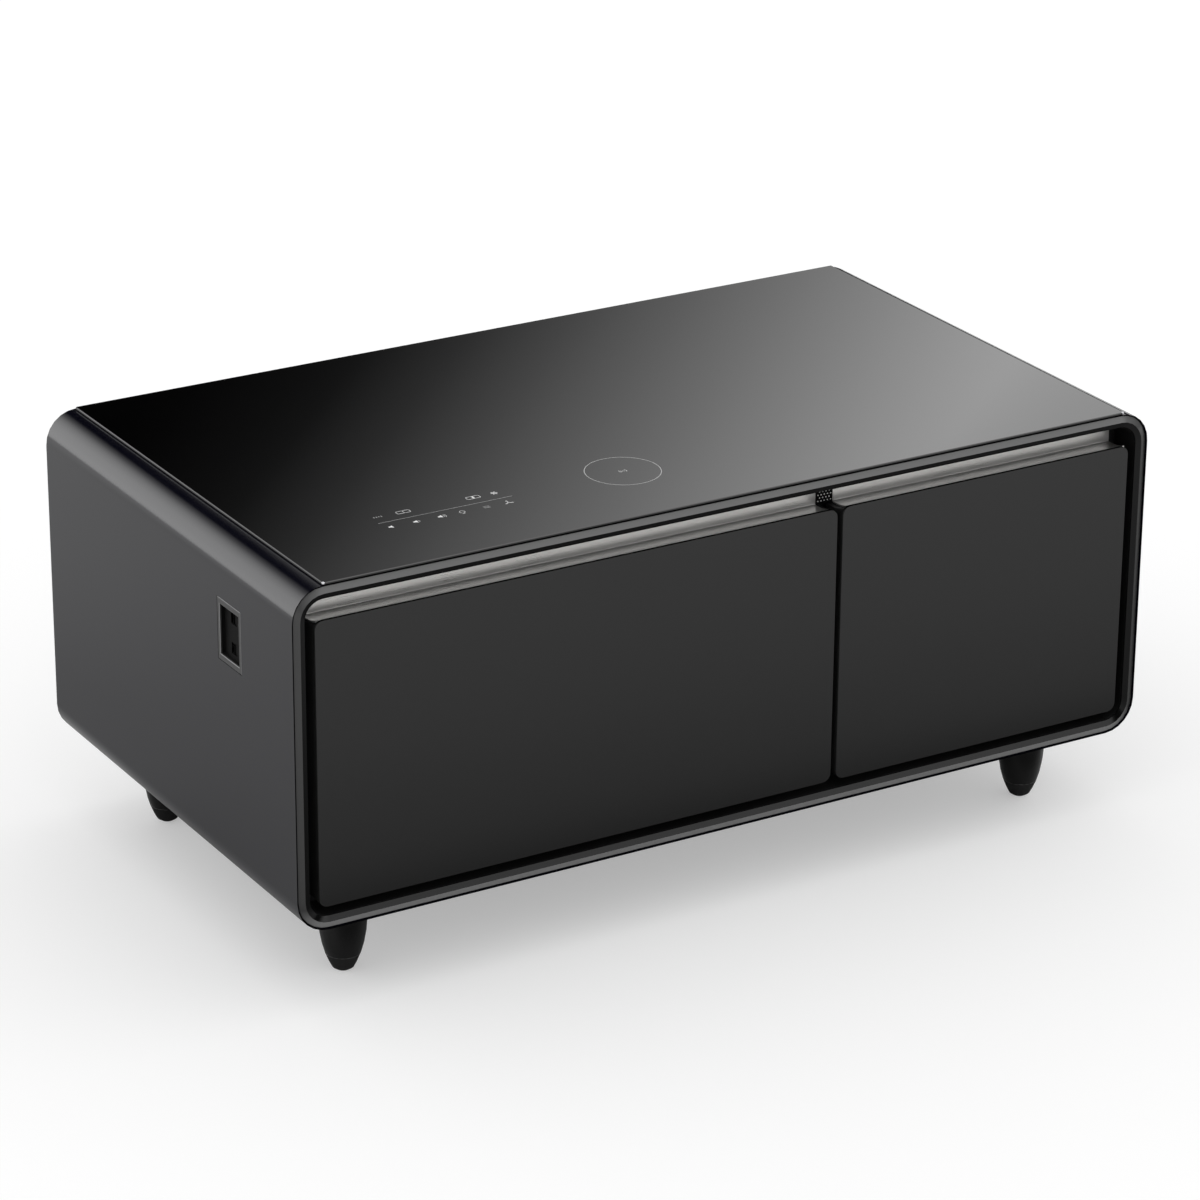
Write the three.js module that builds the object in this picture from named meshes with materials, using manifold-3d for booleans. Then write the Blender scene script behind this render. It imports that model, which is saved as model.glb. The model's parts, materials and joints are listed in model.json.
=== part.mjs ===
// Refrigerator coffee table: a low insulated cabinet on four turned legs, with a dark glass top and
// two cooled drawers that run out to the front on telescopic slides.
// Millimetres, +Z up. The origin lies on the floor under the middle of the cabinet, and the drawers
// face -Y. The cooling unit stands behind the shorter right drawer.

import * as THREE from 'three';
import { mergeVertices } from 'three/addons/utils/BufferGeometryUtils.js';
import Module from 'manifold-3d';

const wasm = await Module();
wasm.setup();

// Driving dimensions of the cabinet
const width = 1100;
const depth = 610;
const bodyHeight = 397;
const legHeight = 98;
const cornerRadius = 38;

// Clearances and the fineness of round forms
const seat = 0.3;
const overrun = 5;
const cornerSteps = 6;
const smallSteps = 4;
const smallSides = 8;
const leastRadius = 0.5;
const roundSides = 18;
const boreSides = 36;

// Folded steel casing, open at the front and closed by a panel at the back
const casing = { sheet: 1, frontSetback: 1, flange: 14, backRecess: 6.5 };

// Two-facet trim ring round the front
const bezel = { seam: 1.2, outerFacet: 7, innerFacet: 6.4, outerSetback: 2.7, innerSetback: 2.6 };
const bezelBack = { lip: 1.4, skirtWall: 2, skirtDepth: 15 };

// Moulded fascia behind the ring, with the mouths of both drawer cavities
const fascia = { plate: 4, tunnelWall: 2, meshDepth: 3 };

// Glass top, laid on the casing between its rounded edges
const glass = { sideMargin: 36, backMargin: 3.4, thickness: 3, corner: 2, chamfer: 0.8 };

// Drawer fronts, measured from the front plane and from the ring's inner edge
const front = { sideGap: 10.9, bottomGap: 11.4, topGap: 24, betweenGap: 7, rightWidth: 390.3, corner: 10 };
const pan = { setback: 1.2, depth: 4, skin: 1.5, chamfer: 0.4 };
const core = { inset: 0.6, behindPull: 0.5, wall: 2.5, cellPitch: 150 };

// Silver pull: a sloping floor behind the top edge of the pan, and a wall that stands up behind it
const pull = {
  wall: 1.8, outerGap: 3, innerGap: 8, front: 0.4, lipDrop: 0.7, floorDrop: 4.8, wallAt: 35, fillet: 1,
};
const pullTop = { belowRing: 3, sag: 1, steps: 6 };

// Door gasket on the back of each drawer front
const gasket = { outset: 1.5, width: 9, depth: 5.1, waist: 2, lip: 1 };

// Cavities of the two drawers, and how far their back walls stand from the back of the cabinet
const cavity = { side: 42, bottom: 44, top: 59, mullion: 40, corner: 12 };
const cavityToBack = { left: 80, right: 280 };
const liner = { wall: 2 };
const foam = { topSpace: 22, behindLiner: 35 };

// Drawer bins
const bin = { wall: 3, floorLift: 8, topDrop: 39, backGap: 25, corner: 14, rim: 4, rimHeight: 6 };
const binRib = { pitch: 120, width: 3, height: 2 };
const binSlot = { pitch: 110, width: 8, height: 90, lift: 60 };

// Telescopic slides: a rail on the cavity wall, a rail between and a rail on the bin
const rail = { sheet: 1.2, width: 12.1, height: 45, behindFascia: 3, backGap: 20, lift: 88 };
const railMid = { offset: 3.2, drop: 3.6, reach: 8 };
const railBin = { drop: 7.8, reach: 5.6 };
const railLip = { height: 2, outerReach: 9.2 };
const cage = { length: 60, width: 2.6, placeShares: [0.2, 0.5, 0.8] };

// Evaporator on the back wall of each cavity
const evaporator = { sideGap: 40, height: 190, sheet: 1.5, channel: 9, bulge: 2.5, runs: 4, bendSteps: 8 };
const stub = { radius: 4, spacing: 36, clearance: 1.5, pass: 6 };

// Loudspeaker and its perforated cover, above the wall between the cavities
const speaker = { width: 32, height: 24, sill: 13.5, corner: 4, flange: 4, flangeDepth: 3, cone: 12 };
const magnet = { radius: 11, length: 9, bowl: 4 };
const mesh = { thickness: 1, pitch: 4, hole: 1.5, border: 2, sides: 6 };

// Touch board and charging coil, bonded under the glass in windows of the casing
const board = { width: 178, depth: 50, thickness: 1.6, fromSide: 248, fromFront: 118, window: 3 };
const chip = { size: 12, height: 1.4, placeShares: [-0.3, -0.1, 0.1, 0.3] };
const coil = { radius: 26, thickness: 2.4, hole: 9, turns: 4, groove: 0.6, window: 3 };
const coilPlace = { fromSide: 472, fromFront: 123 };

// Charging pocket in the left side
const pocket = { fromFront: 149, fromTop: 103, width: 45, height: 58, frame: 5, frameHeight: 7 };
const pocketBack = { flange: 5, sheet: 1.5, wall: 2, depth: 6 };
const socket = { offsetY: 9, pitch: 35, size: 13, shell: 0.5, cavity: 11, tongue: 8, tongueSheet: 2 };
const socketBody = { depth: 17, margin: 4, shellReach: 1.4 };

// Back panel with vents and the power inlet
const backPanel = { sheet: 2.5, edge: 1.5 };
const vent = { slotWidth: 60, slotHeight: 8, rows: 5, pitch: 19, columnPitch: 70, lift: 11 };
const inlet = { fromSide: 292, lift: 52, width: 27.5, height: 20, depth: 20 };
const inletFlange = { reach: 11, rise: 1.4, sheet: 2, corner: 4 };
const inletCavity = { wall: 1.8, depth: 15 };
const inletPin = { width: 2, height: 4, reach: 9.5, pitch: 7, lift: 2 };

// Cooling unit
const bay = { side: 2 };
const pot = { fromWall: 125, fromBack: 117, radius: 68, seam: 73, base: 16, height: 150, dome: 34 };
const domeShares = [[1, 1], [0.92, 0.5], [0.5, 0.12], [0, 0]];
const potFeet = { plate: 3, plateWidth: 132, plateDepth: 96, radius: 9, inset: 14 };
const relay = { width: 44, depth: 22, height: 40, lift: 46, sink: 7 };
const condenser = { fromSide: 40, width: 140, height: 140, back: 34, depth: 44, sheet: 1 };
const fins = { count: 7, sheet: 0.8, tubeRadius: 4, tubeSides: 5, tubeRows: 3 };
const fan = { size: 120, depth: 25, bore: 56, motor: 21, motorDepth: 8 };
const fanStrut = { width: 6, sheet: 3, sink: 1.5 };
const rotor = { hub: 20, hubDepth: 13, tip: 54, blades: 7, sections: 5, sheet: 1.8 };
const blade = { rootChord: 18, tipChord: 34, rootTurn: 33, tipTurn: 15 };
const shaft = { radius: 3, clearance: 0.3, length: 11 };
const control = { width: 110, height: 90, thickness: 1.6, fromBack: 140, lift: 232, standoff: 6, post: 4 };
const controlBlock = { tall: 27, low: 14 };
const pipe = { radius: 3.2, sides: 5, bend: 16, step: 16, linkLane: 72, suctionLane: 27 };
const drier = { radius: 8, length: 70, neck: 12 };

// Turned legs with a plate on top and a separate tip
const leg = { fromSide: 97, fromFront: 85, topRadius: 28, footRadius: 10.5, roundness: 3.4, tip: 20.5 };
const legEdge = { footEase: 3, shankShares: [0, 0.15, 0.35, 0.6, 1], tipShares: [0.15, 0.5, 1] };
const legPlate = { thickness: 2, inset: 2 };

// Planes and lines that follow from the sizes above
const frontY = -depth / 2;
const backY = depth / 2;
const sideX = width / 2;
const baseZ = legHeight;
const topZ = legHeight + bodyHeight;
const bezelOuter = casing.sheet + bezel.seam;
const bezelRidge = bezelOuter + bezel.outerFacet;
const bezelInner = bezelRidge + bezel.innerFacet;
const bezelLip = bezel.innerSetback + bezelBack.lip;
const insideWall = casing.sheet + seat;
const splitX = sideX - bezelInner - front.sideGap - front.rightWidth - front.betweenGap / 2;
const coreBack = frontY + pull.wallAt + pull.wall + core.behindPull;
const fasciaFace = coreBack + gasket.depth + 2 * seat;
const fasciaBack = fasciaFace + fascia.plate;
const cavityBottom = baseZ + cavity.bottom;
const cavityTop = topZ - cavity.top;
const foamTop = topZ - foam.topSpace;
const panelBack = backY - casing.backRecess + seat + backPanel.sheet;
const compartmentX = splitX + bay.side;
const floorZ = baseZ + casing.sheet + seat;
const cavityBackY = { left: backY - cavityToBack.left, right: backY - cavityToBack.right };
const foamBackY = {
  left: cavityBackY.left + foam.behindLiner,
  right: cavityBackY.right + foam.behindLiner,
};
const boardAt = { x: -sideX + board.fromSide, y: frontY + board.fromFront };
const coilAt = { x: -sideX + coilPlace.fromSide, y: frontY + coilPlace.fromFront };
const pocketAt = { y: frontY + pocket.fromFront, z: topZ - pocket.fromTop };
const inletAt = { x: sideX - inlet.fromSide, z: baseZ + inlet.lift };
const potAt = { x: compartmentX + pot.fromWall, y: backY - pot.fromBack };
const condenserX = sideX - condenser.fromSide - condenser.width / 2;
const controlAt = { y: backY - control.fromBack, z: baseZ + control.lift };
const outline = { left: -sideX, right: sideX, bottom: baseZ, top: topZ, corner: cornerRadius };

// Finishes
const finish = {
  sideLacquer: new THREE.MeshStandardMaterial({ color: 0x47484a, roughness: 0.42, metalness: 0.3 }),
  trimLacquer: new THREE.MeshStandardMaterial({ color: 0x4a4b4c, roughness: 0.35, metalness: 0.4 }),
  frontLacquer: new THREE.MeshStandardMaterial({ color: 0x2c2c2c, roughness: 0.55, metalness: 0.1 }),
  pullSilver: new THREE.MeshStandardMaterial({ color: 0x9b9996, roughness: 0.35, metalness: 0.9 }),
  blackGlass: new THREE.MeshStandardMaterial({ color: 0x0a0a0b, roughness: 0.06, metalness: 0.0 }),
  blackPlastic: new THREE.MeshStandardMaterial({ color: 0x161617, roughness: 0.6, metalness: 0.0 }),
  greyPlastic: new THREE.MeshStandardMaterial({ color: 0x3a3b3d, roughness: 0.6, metalness: 0.0 }),
  legBlack: new THREE.MeshStandardMaterial({ color: 0x161617, roughness: 0.5, metalness: 0.0 }),
  footRubber: new THREE.MeshStandardMaterial({ color: 0x111112, roughness: 0.8, metalness: 0.0 }),
  linerWhite: new THREE.MeshStandardMaterial({ color: 0xd9dbdc, roughness: 0.45, metalness: 0.0 }),
  binGrey: new THREE.MeshStandardMaterial({ color: 0xb9bdc0, roughness: 0.35, metalness: 0.0 }),
  foamYellow: new THREE.MeshStandardMaterial({ color: 0xd8cfa6, roughness: 0.95, metalness: 0.0 }),
  railZinc: new THREE.MeshStandardMaterial({ color: 0x9ea3a6, roughness: 0.35, metalness: 0.9 }),
  aluminium: new THREE.MeshStandardMaterial({ color: 0xb8babc, roughness: 0.4, metalness: 0.9 }),
  copper: new THREE.MeshStandardMaterial({ color: 0xb0714a, roughness: 0.4, metalness: 0.9 }),
  potBlack: new THREE.MeshStandardMaterial({ color: 0x151617, roughness: 0.45, metalness: 0.4 }),
  backGrey: new THREE.MeshStandardMaterial({ color: 0x333436, roughness: 0.6, metalness: 0.3 }),
  boardGreen: new THREE.MeshStandardMaterial({ color: 0x1d4a32, roughness: 0.6, metalness: 0.0 }),
  gasketGrey: new THREE.MeshStandardMaterial({ color: 0x4c4d4f, roughness: 0.75, metalness: 0.0 }),
};

const table = new THREE.Group();

// Adds one named piece to the table
function place(name, geometry, material, parent = table) {
  const piece = new THREE.Mesh(geometry, material);
  piece.name = name;
  parent.add(piece);
  return piece;
}

// Turns a closed geometry into a solid for cutting and joining
function solidOf(geometry) {
  const bare = geometry.clone();
  bare.deleteAttribute('normal');
  bare.deleteAttribute('uv');
  const merged = mergeVertices(bare);
  const vertProperties = new Float32Array(merged.attributes.position.array);
  const triVerts = new Uint32Array(merged.index.array);
  return new wasm.Manifold(new wasm.Mesh({ numProp: 3, vertProperties, triVerts }));
}

// Turns a solid back into a geometry
function geometryOf(solid) {
  const result = solid.getMesh();
  const geometry = new THREE.BufferGeometry();
  geometry.setAttribute('position', new THREE.BufferAttribute(new Float32Array(result.vertProperties), 3));
  geometry.setIndex(new THREE.BufferAttribute(new Uint32Array(result.triVerts), 1));
  geometry.computeVertexNormals();
  return geometry;
}

function cut(geometry, ...tools) {
  let solid = solidOf(geometry);
  for (const tool of tools) {
    solid = solid.subtract(solidOf(tool));
  }
  return geometryOf(solid);
}

function join(geometry, ...others) {
  let solid = solidOf(geometry);
  for (const other of others) {
    solid = solid.add(solidOf(other));
  }
  return geometryOf(solid);
}

function common(geometry, other) {
  return geometryOf(solidOf(geometry).intersect(solidOf(other)));
}

// Box between two corners
function box(x0, x1, y0, y1, z0, z1) {
  const geometry = new THREE.BoxGeometry(x1 - x0, y1 - y0, z1 - z0);
  geometry.translate((x0 + x1) / 2, (y0 + y1) / 2, (z0 + z1) / 2);
  return geometry;
}

// Rounded rectangle as a shape
function roundedShape(x0, x1, z0, z1, radius) {
  const shape = new THREE.Shape();
  shape.moveTo(x0 + radius, z0);
  shape.lineTo(x1 - radius, z0);
  shape.absarc(x1 - radius, z0 + radius, radius, -Math.PI / 2, 0);
  shape.lineTo(x1, z1 - radius);
  shape.absarc(x1 - radius, z1 - radius, radius, 0, Math.PI / 2);
  shape.lineTo(x0 + radius, z1);
  shape.absarc(x0 + radius, z1 - radius, radius, Math.PI / 2, Math.PI);
  shape.lineTo(x0, z0 + radius);
  shape.absarc(x0 + radius, z0 + radius, radius, Math.PI, Math.PI * 1.5);
  return shape;
}

function insetShape(frame, inset) {
  const radius = Math.max(frame.corner - inset, leastRadius);
  const xs = [frame.left + inset, frame.right - inset];
  return roundedShape(...xs, frame.bottom + inset, frame.top - inset, radius);
}

// Prism of a shape drawn in X and Z, from y0 to y1, with an optional chamfer at both ends. The steps
// are those of each arc, and an arc gets two for every curve segment.
function prismY(shape, y0, y1, chamfer = 0, steps = cornerSteps) {
  const settings = { depth: y1 - y0 - 2 * chamfer, bevelEnabled: chamfer > 0, curveSegments: steps / 2 };
  settings.bevelThickness = chamfer;
  settings.bevelSize = chamfer;
  settings.bevelOffset = -chamfer;
  settings.bevelSegments = 1;
  const geometry = new THREE.ExtrudeGeometry(shape, settings);
  geometry.rotateX(Math.PI / 2);
  geometry.translate(0, y1 - chamfer, 0);
  return geometry;
}

// Prism of a shape drawn in X and Y, from z0 to z1, with an optional chamfer at both ends
function prismZ(shape, z0, z1, chamfer = 0, steps = cornerSteps) {
  const settings = { depth: z1 - z0 - 2 * chamfer, bevelEnabled: chamfer > 0, curveSegments: steps / 2 };
  settings.bevelThickness = chamfer;
  settings.bevelSize = chamfer;
  settings.bevelOffset = -chamfer;
  settings.bevelSegments = 1;
  const geometry = new THREE.ExtrudeGeometry(shape, settings);
  geometry.translate(0, 0, z0 + chamfer);
  return geometry;
}

// Prism of a shape drawn in Y and Z, from x0 to x1
function prismX(shape, x0, x1, steps = cornerSteps) {
  const settings = { depth: x1 - x0, bevelEnabled: false, curveSegments: steps };
  const geometry = new THREE.ExtrudeGeometry(shape, settings);
  const turn = new THREE.Matrix4();
  turn.makeBasis(new THREE.Vector3(0, 1, 0), new THREE.Vector3(0, 0, 1), new THREE.Vector3(1, 0, 0));
  geometry.applyMatrix4(turn);
  geometry.translate(x0, 0, 0);
  return geometry;
}

// Cylinder along Y or Z from a start point
function rodY(x, z, radius, y0, y1, sides = roundSides) {
  const geometry = new THREE.CylinderGeometry(radius, radius, y1 - y0, sides);
  geometry.translate(x, (y0 + y1) / 2, z);
  return geometry;
}

function rodZ(x, y, radius, z0, z1, sides = roundSides) {
  const geometry = new THREE.CylinderGeometry(radius, radius, z1 - z0, sides);
  geometry.rotateX(Math.PI / 2);
  geometry.translate(x, y, (z0 + z1) / 2);
  return geometry;
}

// Turned form: a profile of radius and height, revolved about a vertical line
function turned(profile, x, y, sides = roundSides) {
  const points = profile.map(([radius, height]) => new THREE.Vector2(radius, height));
  const geometry = new THREE.LatheGeometry(points, sides);
  geometry.rotateX(Math.PI / 2);
  geometry.translate(x, y, 0);
  return geometry;
}

// Points of a rounded rectangle in X and Z, drawn in by an inset
function ringPoints(frame, inset, steps) {
  const radius = Math.max(frame.corner - inset, leastRadius);
  const east = frame.right - inset - radius;
  const west = frame.left + inset + radius;
  const high = frame.top - inset - radius;
  const low = frame.bottom + inset + radius;
  const centres = [[east, high], [west, high], [west, low], [east, low]];
  const points = [];
  centres.forEach(([x, z], corner) => {
    for (let step = 0; step <= steps; step += 1) {
      const angle = (corner + step / steps) * Math.PI / 2;
      points.push([x + radius * Math.cos(angle), z + radius * Math.sin(angle)]);
    }
  });
  return points;
}

// Closed mesh from rows of points, where each row and the run of rows both close on themselves
function closedRows(rows) {
  const perRow = rows[0].length;
  const index = [];
  rows.forEach((row, rowNumber) => {
    const nextRow = (rowNumber + 1) % rows.length;
    for (let step = 0; step < perRow; step += 1) {
      const next = (step + 1) % perRow;
      const corners = [rowNumber * perRow + step, rowNumber * perRow + next];
      const beyond = [nextRow * perRow + step, nextRow * perRow + next];
      index.push(corners[0], beyond[0], corners[1], corners[1], beyond[0], beyond[1]);
    }
  });
  const geometry = new THREE.BufferGeometry();
  geometry.setAttribute('position', new THREE.Float32BufferAttribute(rows.flat(2), 3));
  geometry.setIndex(index);
  geometry.computeVertexNormals();
  return geometry;
}

// Frame with one cross-section all round: the profile's points are inset and Y
function frameSweep(frame, profile, steps = cornerSteps) {
  const anticlockwise = THREE.ShapeUtils.area(profile.map(([inset, y]) => new THREE.Vector2(inset, y))) > 0;
  const ordered = anticlockwise ? [...profile].reverse() : profile;
  const rows = ordered.map(([inset, y]) => ringPoints(frame, inset, steps).map(([x, z]) => [x, y, z]));
  return closedRows(rows);
}

// Casing and the parts that close it

function makeCasing() {
  const edgeY = frontY + casing.frontSetback;
  const flangeY = backY - casing.backRecess;
  const profile = [
    [0, edgeY], [casing.sheet, edgeY], [casing.sheet, flangeY - casing.sheet],
    [casing.sheet + casing.flange, flangeY - casing.sheet], [casing.sheet + casing.flange, flangeY],
    [casing.sheet, flangeY], [casing.sheet, backY], [0, backY],
  ];
  const shell = frameSweep(outline, profile);
  const boardX = board.width / 2 + board.window;
  const boardY = board.depth / 2 + board.window;
  const skin = [topZ - casing.sheet - overrun, topZ + overrun];
  const boardXs = [boardAt.x - boardX, boardAt.x + boardX];
  const boardWindow = box(...boardXs, boardAt.y - boardY, boardAt.y + boardY, ...skin);
  const coilWindow = rodZ(coilAt.x, coilAt.y, coil.radius + coil.window, ...skin);
  const holeY = pocket.width / 2 + pocket.frame + seat;
  const holeZ = pocket.height / 2 + pocket.frameHeight + seat;
  const across = [-sideX - overrun, -sideX + casing.sheet + overrun];
  const holeYs = [pocketAt.y - holeY, pocketAt.y + holeY];
  const sideHole = box(...across, ...holeYs, pocketAt.z - holeZ, pocketAt.z + holeZ);
  place('casing', cut(shell, boardWindow, coilWindow, sideHole), finish.sideLacquer);
}

function makeBackPanel() {
  const inset = insideWall + backPanel.edge;
  const y0 = backY - casing.backRecess + seat;
  const plate = prismY(insetShape(outline, inset), y0, y0 + backPanel.sheet);
  const slots = [];
  const through = [y0 - overrun, y0 + backPanel.sheet + overrun];
  const fields = [[condenserX, floorZ + vent.lift], [potAt.x, baseZ + pot.height + vent.lift]];
  for (const [centreX, lowest] of fields) {
    for (const side of [-1, 1]) {
      const x = centreX + side * vent.columnPitch / 2;
      for (let row = 0; row < vent.rows; row += 1) {
        const z = lowest + row * vent.pitch;
        slots.push(box(x - vent.slotWidth / 2, x + vent.slotWidth / 2, ...through, z, z + vent.slotHeight));
      }
    }
  }
  const holeX = inlet.width / 2 + seat;
  const holeZ = inlet.height / 2 + seat;
  slots.push(box(inletAt.x - holeX, inletAt.x + holeX, ...through, inletAt.z - holeZ, inletAt.z + holeZ));
  place('back_panel', cut(plate, ...slots), finish.backGrey);
}

function makeGlass() {
  const edgeX = sideX - glass.sideMargin;
  const shape = roundedShape(-edgeX, edgeX, frontY, backY - glass.backMargin, glass.corner);
  const z0 = topZ + seat;
  place('glass_top', prismZ(shape, z0, z0 + glass.thickness, glass.chamfer, smallSteps), finish.blackGlass);
}

// Front ring and fascia

function makeBezel() {
  const skirtOuter = insideWall;
  const skirtInner = insideWall + bezelBack.skirtWall;
  const profile = [
    [bezelOuter, frontY + bezel.outerSetback], [bezelRidge, frontY],
    [bezelInner, frontY + bezel.innerSetback], [bezelInner, frontY + bezelLip],
    [skirtInner, frontY + bezelLip],
    [skirtInner, frontY + bezelBack.skirtDepth], [skirtOuter, frontY + bezelBack.skirtDepth],
    [skirtOuter, frontY + bezelLip], [bezelOuter, frontY + bezelLip],
  ];
  place('front_bezel', frameSweep(outline, profile), finish.trimLacquer);
}

// The two cavities, as frames in X and Z
const mouths = {
  left: {
    left: -sideX + cavity.side, right: splitX - cavity.mullion / 2,
    bottom: cavityBottom, top: cavityTop, corner: cavity.corner,
  },
  right: {
    left: splitX + cavity.mullion / 2, right: sideX - cavity.side,
    bottom: cavityBottom, top: cavityTop, corner: cavity.corner,
  },
};

function speakerShape(margin) {
  const halfWidth = speaker.width / 2 + margin;
  const z0 = cavityTop + speaker.sill - margin;
  const z1 = z0 + speaker.height + 2 * margin;
  return roundedShape(splitX - halfWidth, splitX + halfWidth, z0, z1, speaker.corner + margin);
}

function makeFascia() {
  const plate = prismY(insetShape(outline, insideWall), fasciaFace, fasciaBack);
  const tunnelOuter = bezelInner - fascia.tunnelWall;
  const profile = [
    [tunnelOuter, frontY + bezelLip + seat], [bezelInner, frontY + bezelLip + seat],
    [bezelInner, fasciaFace + fascia.plate / 2], [tunnelOuter, fasciaFace + fascia.plate / 2],
  ];
  const through = [fasciaFace - overrun, fasciaBack + overrun];
  const holes = [
    prismY(insetShape(mouths.left, 0), ...through, 0, smallSteps),
    prismY(insetShape(mouths.right, 0), ...through, 0, smallSteps),
    prismY(speakerShape(0), ...through, 0, smallSteps),
  ];
  place('front_fascia', cut(join(plate, frameSweep(outline, profile)), ...holes), finish.blackPlastic);
}

// Loudspeaker behind a perforated cover

function makeSpeaker() {
  const centreZ = cavityTop + speaker.sill + speaker.height / 2;
  const meshBack = fasciaFace + fascia.meshDepth;
  const plate = prismY(speakerShape(-seat), meshBack - mesh.thickness, meshBack, 0, smallSteps);
  const holes = [];
  const rowPitch = mesh.pitch * Math.sqrt(3) / 2;
  const rows = Math.floor((speaker.height / 2 - mesh.border) / rowPitch);
  const columns = Math.floor((speaker.width / 2 - mesh.border) / mesh.pitch);
  const meshYs = [meshBack - mesh.thickness - overrun, meshBack + overrun];
  for (let row = -rows; row <= rows; row += 1) {
    const half = row % 2 === 0 ? columns : columns - 1 / 2;
    for (let column = -half; column <= half; column += 1) {
      const x = splitX + column * mesh.pitch;
      const z = centreZ + row * rowPitch;
      holes.push(rodY(x, z, mesh.hole, ...meshYs, mesh.sides));
    }
  }
  place('speaker_grille', cut(plate, ...holes), finish.blackPlastic);

  const flangeFront = fasciaBack + seat;
  const coneFront = flangeFront + speaker.flangeDepth;
  const flange = prismY(speakerShape(speaker.flange), flangeFront, coneFront, 0, smallSteps);
  const coneTop = speaker.height / 2;
  const basket = new THREE.CylinderGeometry(coneTop, magnet.radius, speaker.cone, roundSides);
  basket.rotateX(Math.PI);
  basket.translate(splitX, coneFront + speaker.cone / 2, centreZ);
  const coneY = coneFront + speaker.cone;
  const rear = rodY(splitX, centreZ, magnet.radius, coneY - seat, coneY + magnet.length);
  const bowl = new THREE.CylinderGeometry(coneTop - mesh.border, magnet.bowl, speaker.cone, roundSides);
  bowl.rotateX(Math.PI);
  bowl.translate(splitX, flangeFront + speaker.cone / 2 - seat, centreZ);
  place('speaker_driver', cut(join(flange, basket, rear), bowl), finish.potBlack);
}

// Electronics under the glass

function makeTouchBoard() {
  const top = topZ;
  const bottom = top - board.thickness;
  const halfX = board.width / 2;
  const halfY = board.depth / 2;
  const ys = [boardAt.y - halfY, boardAt.y + halfY];
  let geometry = box(boardAt.x - halfX, boardAt.x + halfX, ...ys, bottom, top);
  const half = chip.size / 2;
  for (const share of chip.placeShares) {
    const x = boardAt.x + share * board.width;
    const zs = [bottom - chip.height, bottom + seat];
    geometry = join(geometry, box(x - half, x + half, boardAt.y - half, boardAt.y + half, ...zs));
  }
  place('touch_board', geometry, finish.boardGreen);
}

function makeCoil() {
  const top = topZ;
  const bottom = top - coil.thickness;
  const profile = [[coil.hole, bottom], [coil.radius, bottom]];
  const pitch = (coil.radius - coil.hole) / coil.turns;
  for (let turn = 0; turn < coil.turns; turn += 1) {
    const outer = coil.radius - turn * pitch;
    profile.push([outer, top - coil.groove], [outer - pitch / 2, top]);
  }
  profile.push([coil.hole, top - coil.groove], [coil.hole, bottom]);
  place('charging_coil', turned(profile, coilAt.x, coilAt.y), finish.copper);
}

// Charging pocket in the left side, with two sockets in its floor

function pocketBox(x0, x1, marginY, marginZ) {
  const halfY = pocket.width / 2 + marginY;
  const halfZ = pocket.height / 2 + marginZ;
  return box(x0, x1, pocketAt.y - halfY, pocketAt.y + halfY, pocketAt.z - halfZ, pocketAt.z + halfZ);
}

function socketBox(x0, x1, side, size) {
  const y = pocketAt.y + socket.offsetY;
  const z = pocketAt.z + side * socket.pitch / 2;
  return box(x0, x1, y - size / 2, y + size / 2, z - size / 2, z + size / 2);
}

function makePocket() {
  const face = -sideX;
  const flangeFront = face + insideWall;
  const flangeBack = flangeFront + pocketBack.sheet;
  const floorBack = face + pocketBack.depth + pocketBack.wall;
  const ring = pocketBox(face, flangeBack, pocket.frame, pocket.frameHeight);
  const flangeMargins = [pocket.frame + pocketBack.flange, pocket.frameHeight + pocketBack.flange];
  const flange = pocketBox(flangeFront, flangeBack, ...flangeMargins);
  const tray = pocketBox(flangeFront, floorBack, pocketBack.wall, pocketBack.wall);
  const hollow = pocketBox(face - overrun, face + pocketBack.depth, 0, 0);
  const holes = [-1, 1].map((side) => socketBox(face, floorBack + overrun, side, socket.size + 2 * seat));
  place('usb_pocket', cut(join(ring, flange, tray), hollow, ...holes), finish.greyPlastic);
}

function makeSockets() {
  const floorBack = -sideX + pocketBack.depth + pocketBack.wall;
  const bodyFront = floorBack + seat;
  const bodyBack = bodyFront + socketBody.depth;
  let module = pocketBox(bodyFront, bodyBack, -socketBody.margin, -socketBody.margin / 2);
  for (const side of [-1, 1]) {
    const shellXs = [bodyFront - socketBody.shellReach, bodyFront + seat];
    module = join(module, socketBox(...shellXs, side, socket.size));
    const inner = socket.size - 2 * socket.shell;
    module = cut(module, socketBox(bodyFront - overrun, bodyFront + socket.cavity, side, inner));
  }
  for (const side of [-1, 1]) {
    const y = pocketAt.y + socket.offsetY;
    const z = pocketAt.z + side * socket.pitch / 2;
    const halfY = socket.tongue / 2;
    const halfZ = socket.tongueSheet / 2;
    const reach = [bodyFront + seat, bodyFront + socket.cavity + seat];
    module = join(module, box(...reach, y - halfY, y + halfY, z - halfZ, z + halfZ));
  }
  place('usb_sockets', module, finish.railZinc);
}

// Cooled cavities: liners, evaporators and the foam between them and the casing

function stubPlaces(side) {
  const mouth = mouths[side];
  const z = (mouth.bottom + mouth.top) / 2;
  const x = mouth.right - evaporator.sideGap - stub.spacing;
  return [[x, z - stub.spacing / 2], [x, z + stub.spacing / 2]];
}

function makeLiner(side) {
  const mouth = mouths[side];
  const inner = prismY(insetShape(mouth, 0), fasciaBack - overrun, cavityBackY[side], 0, smallSteps);
  const outerEnds = [fasciaBack + seat, cavityBackY[side] + liner.wall];
  const outer = prismY(insetShape(mouth, -liner.wall), ...outerEnds, 0, smallSteps);
  const passages = stubPlaces(side).map(([x, z]) => {
    const reach = [cavityBackY[side] - overrun, cavityBackY[side] + liner.wall + overrun];
    return rodY(x, z, stub.radius + stub.clearance, ...reach, smallSides);
  });
  place(`${side}_liner`, cut(outer, inner, ...passages), finish.linerWhite);
}

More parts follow.
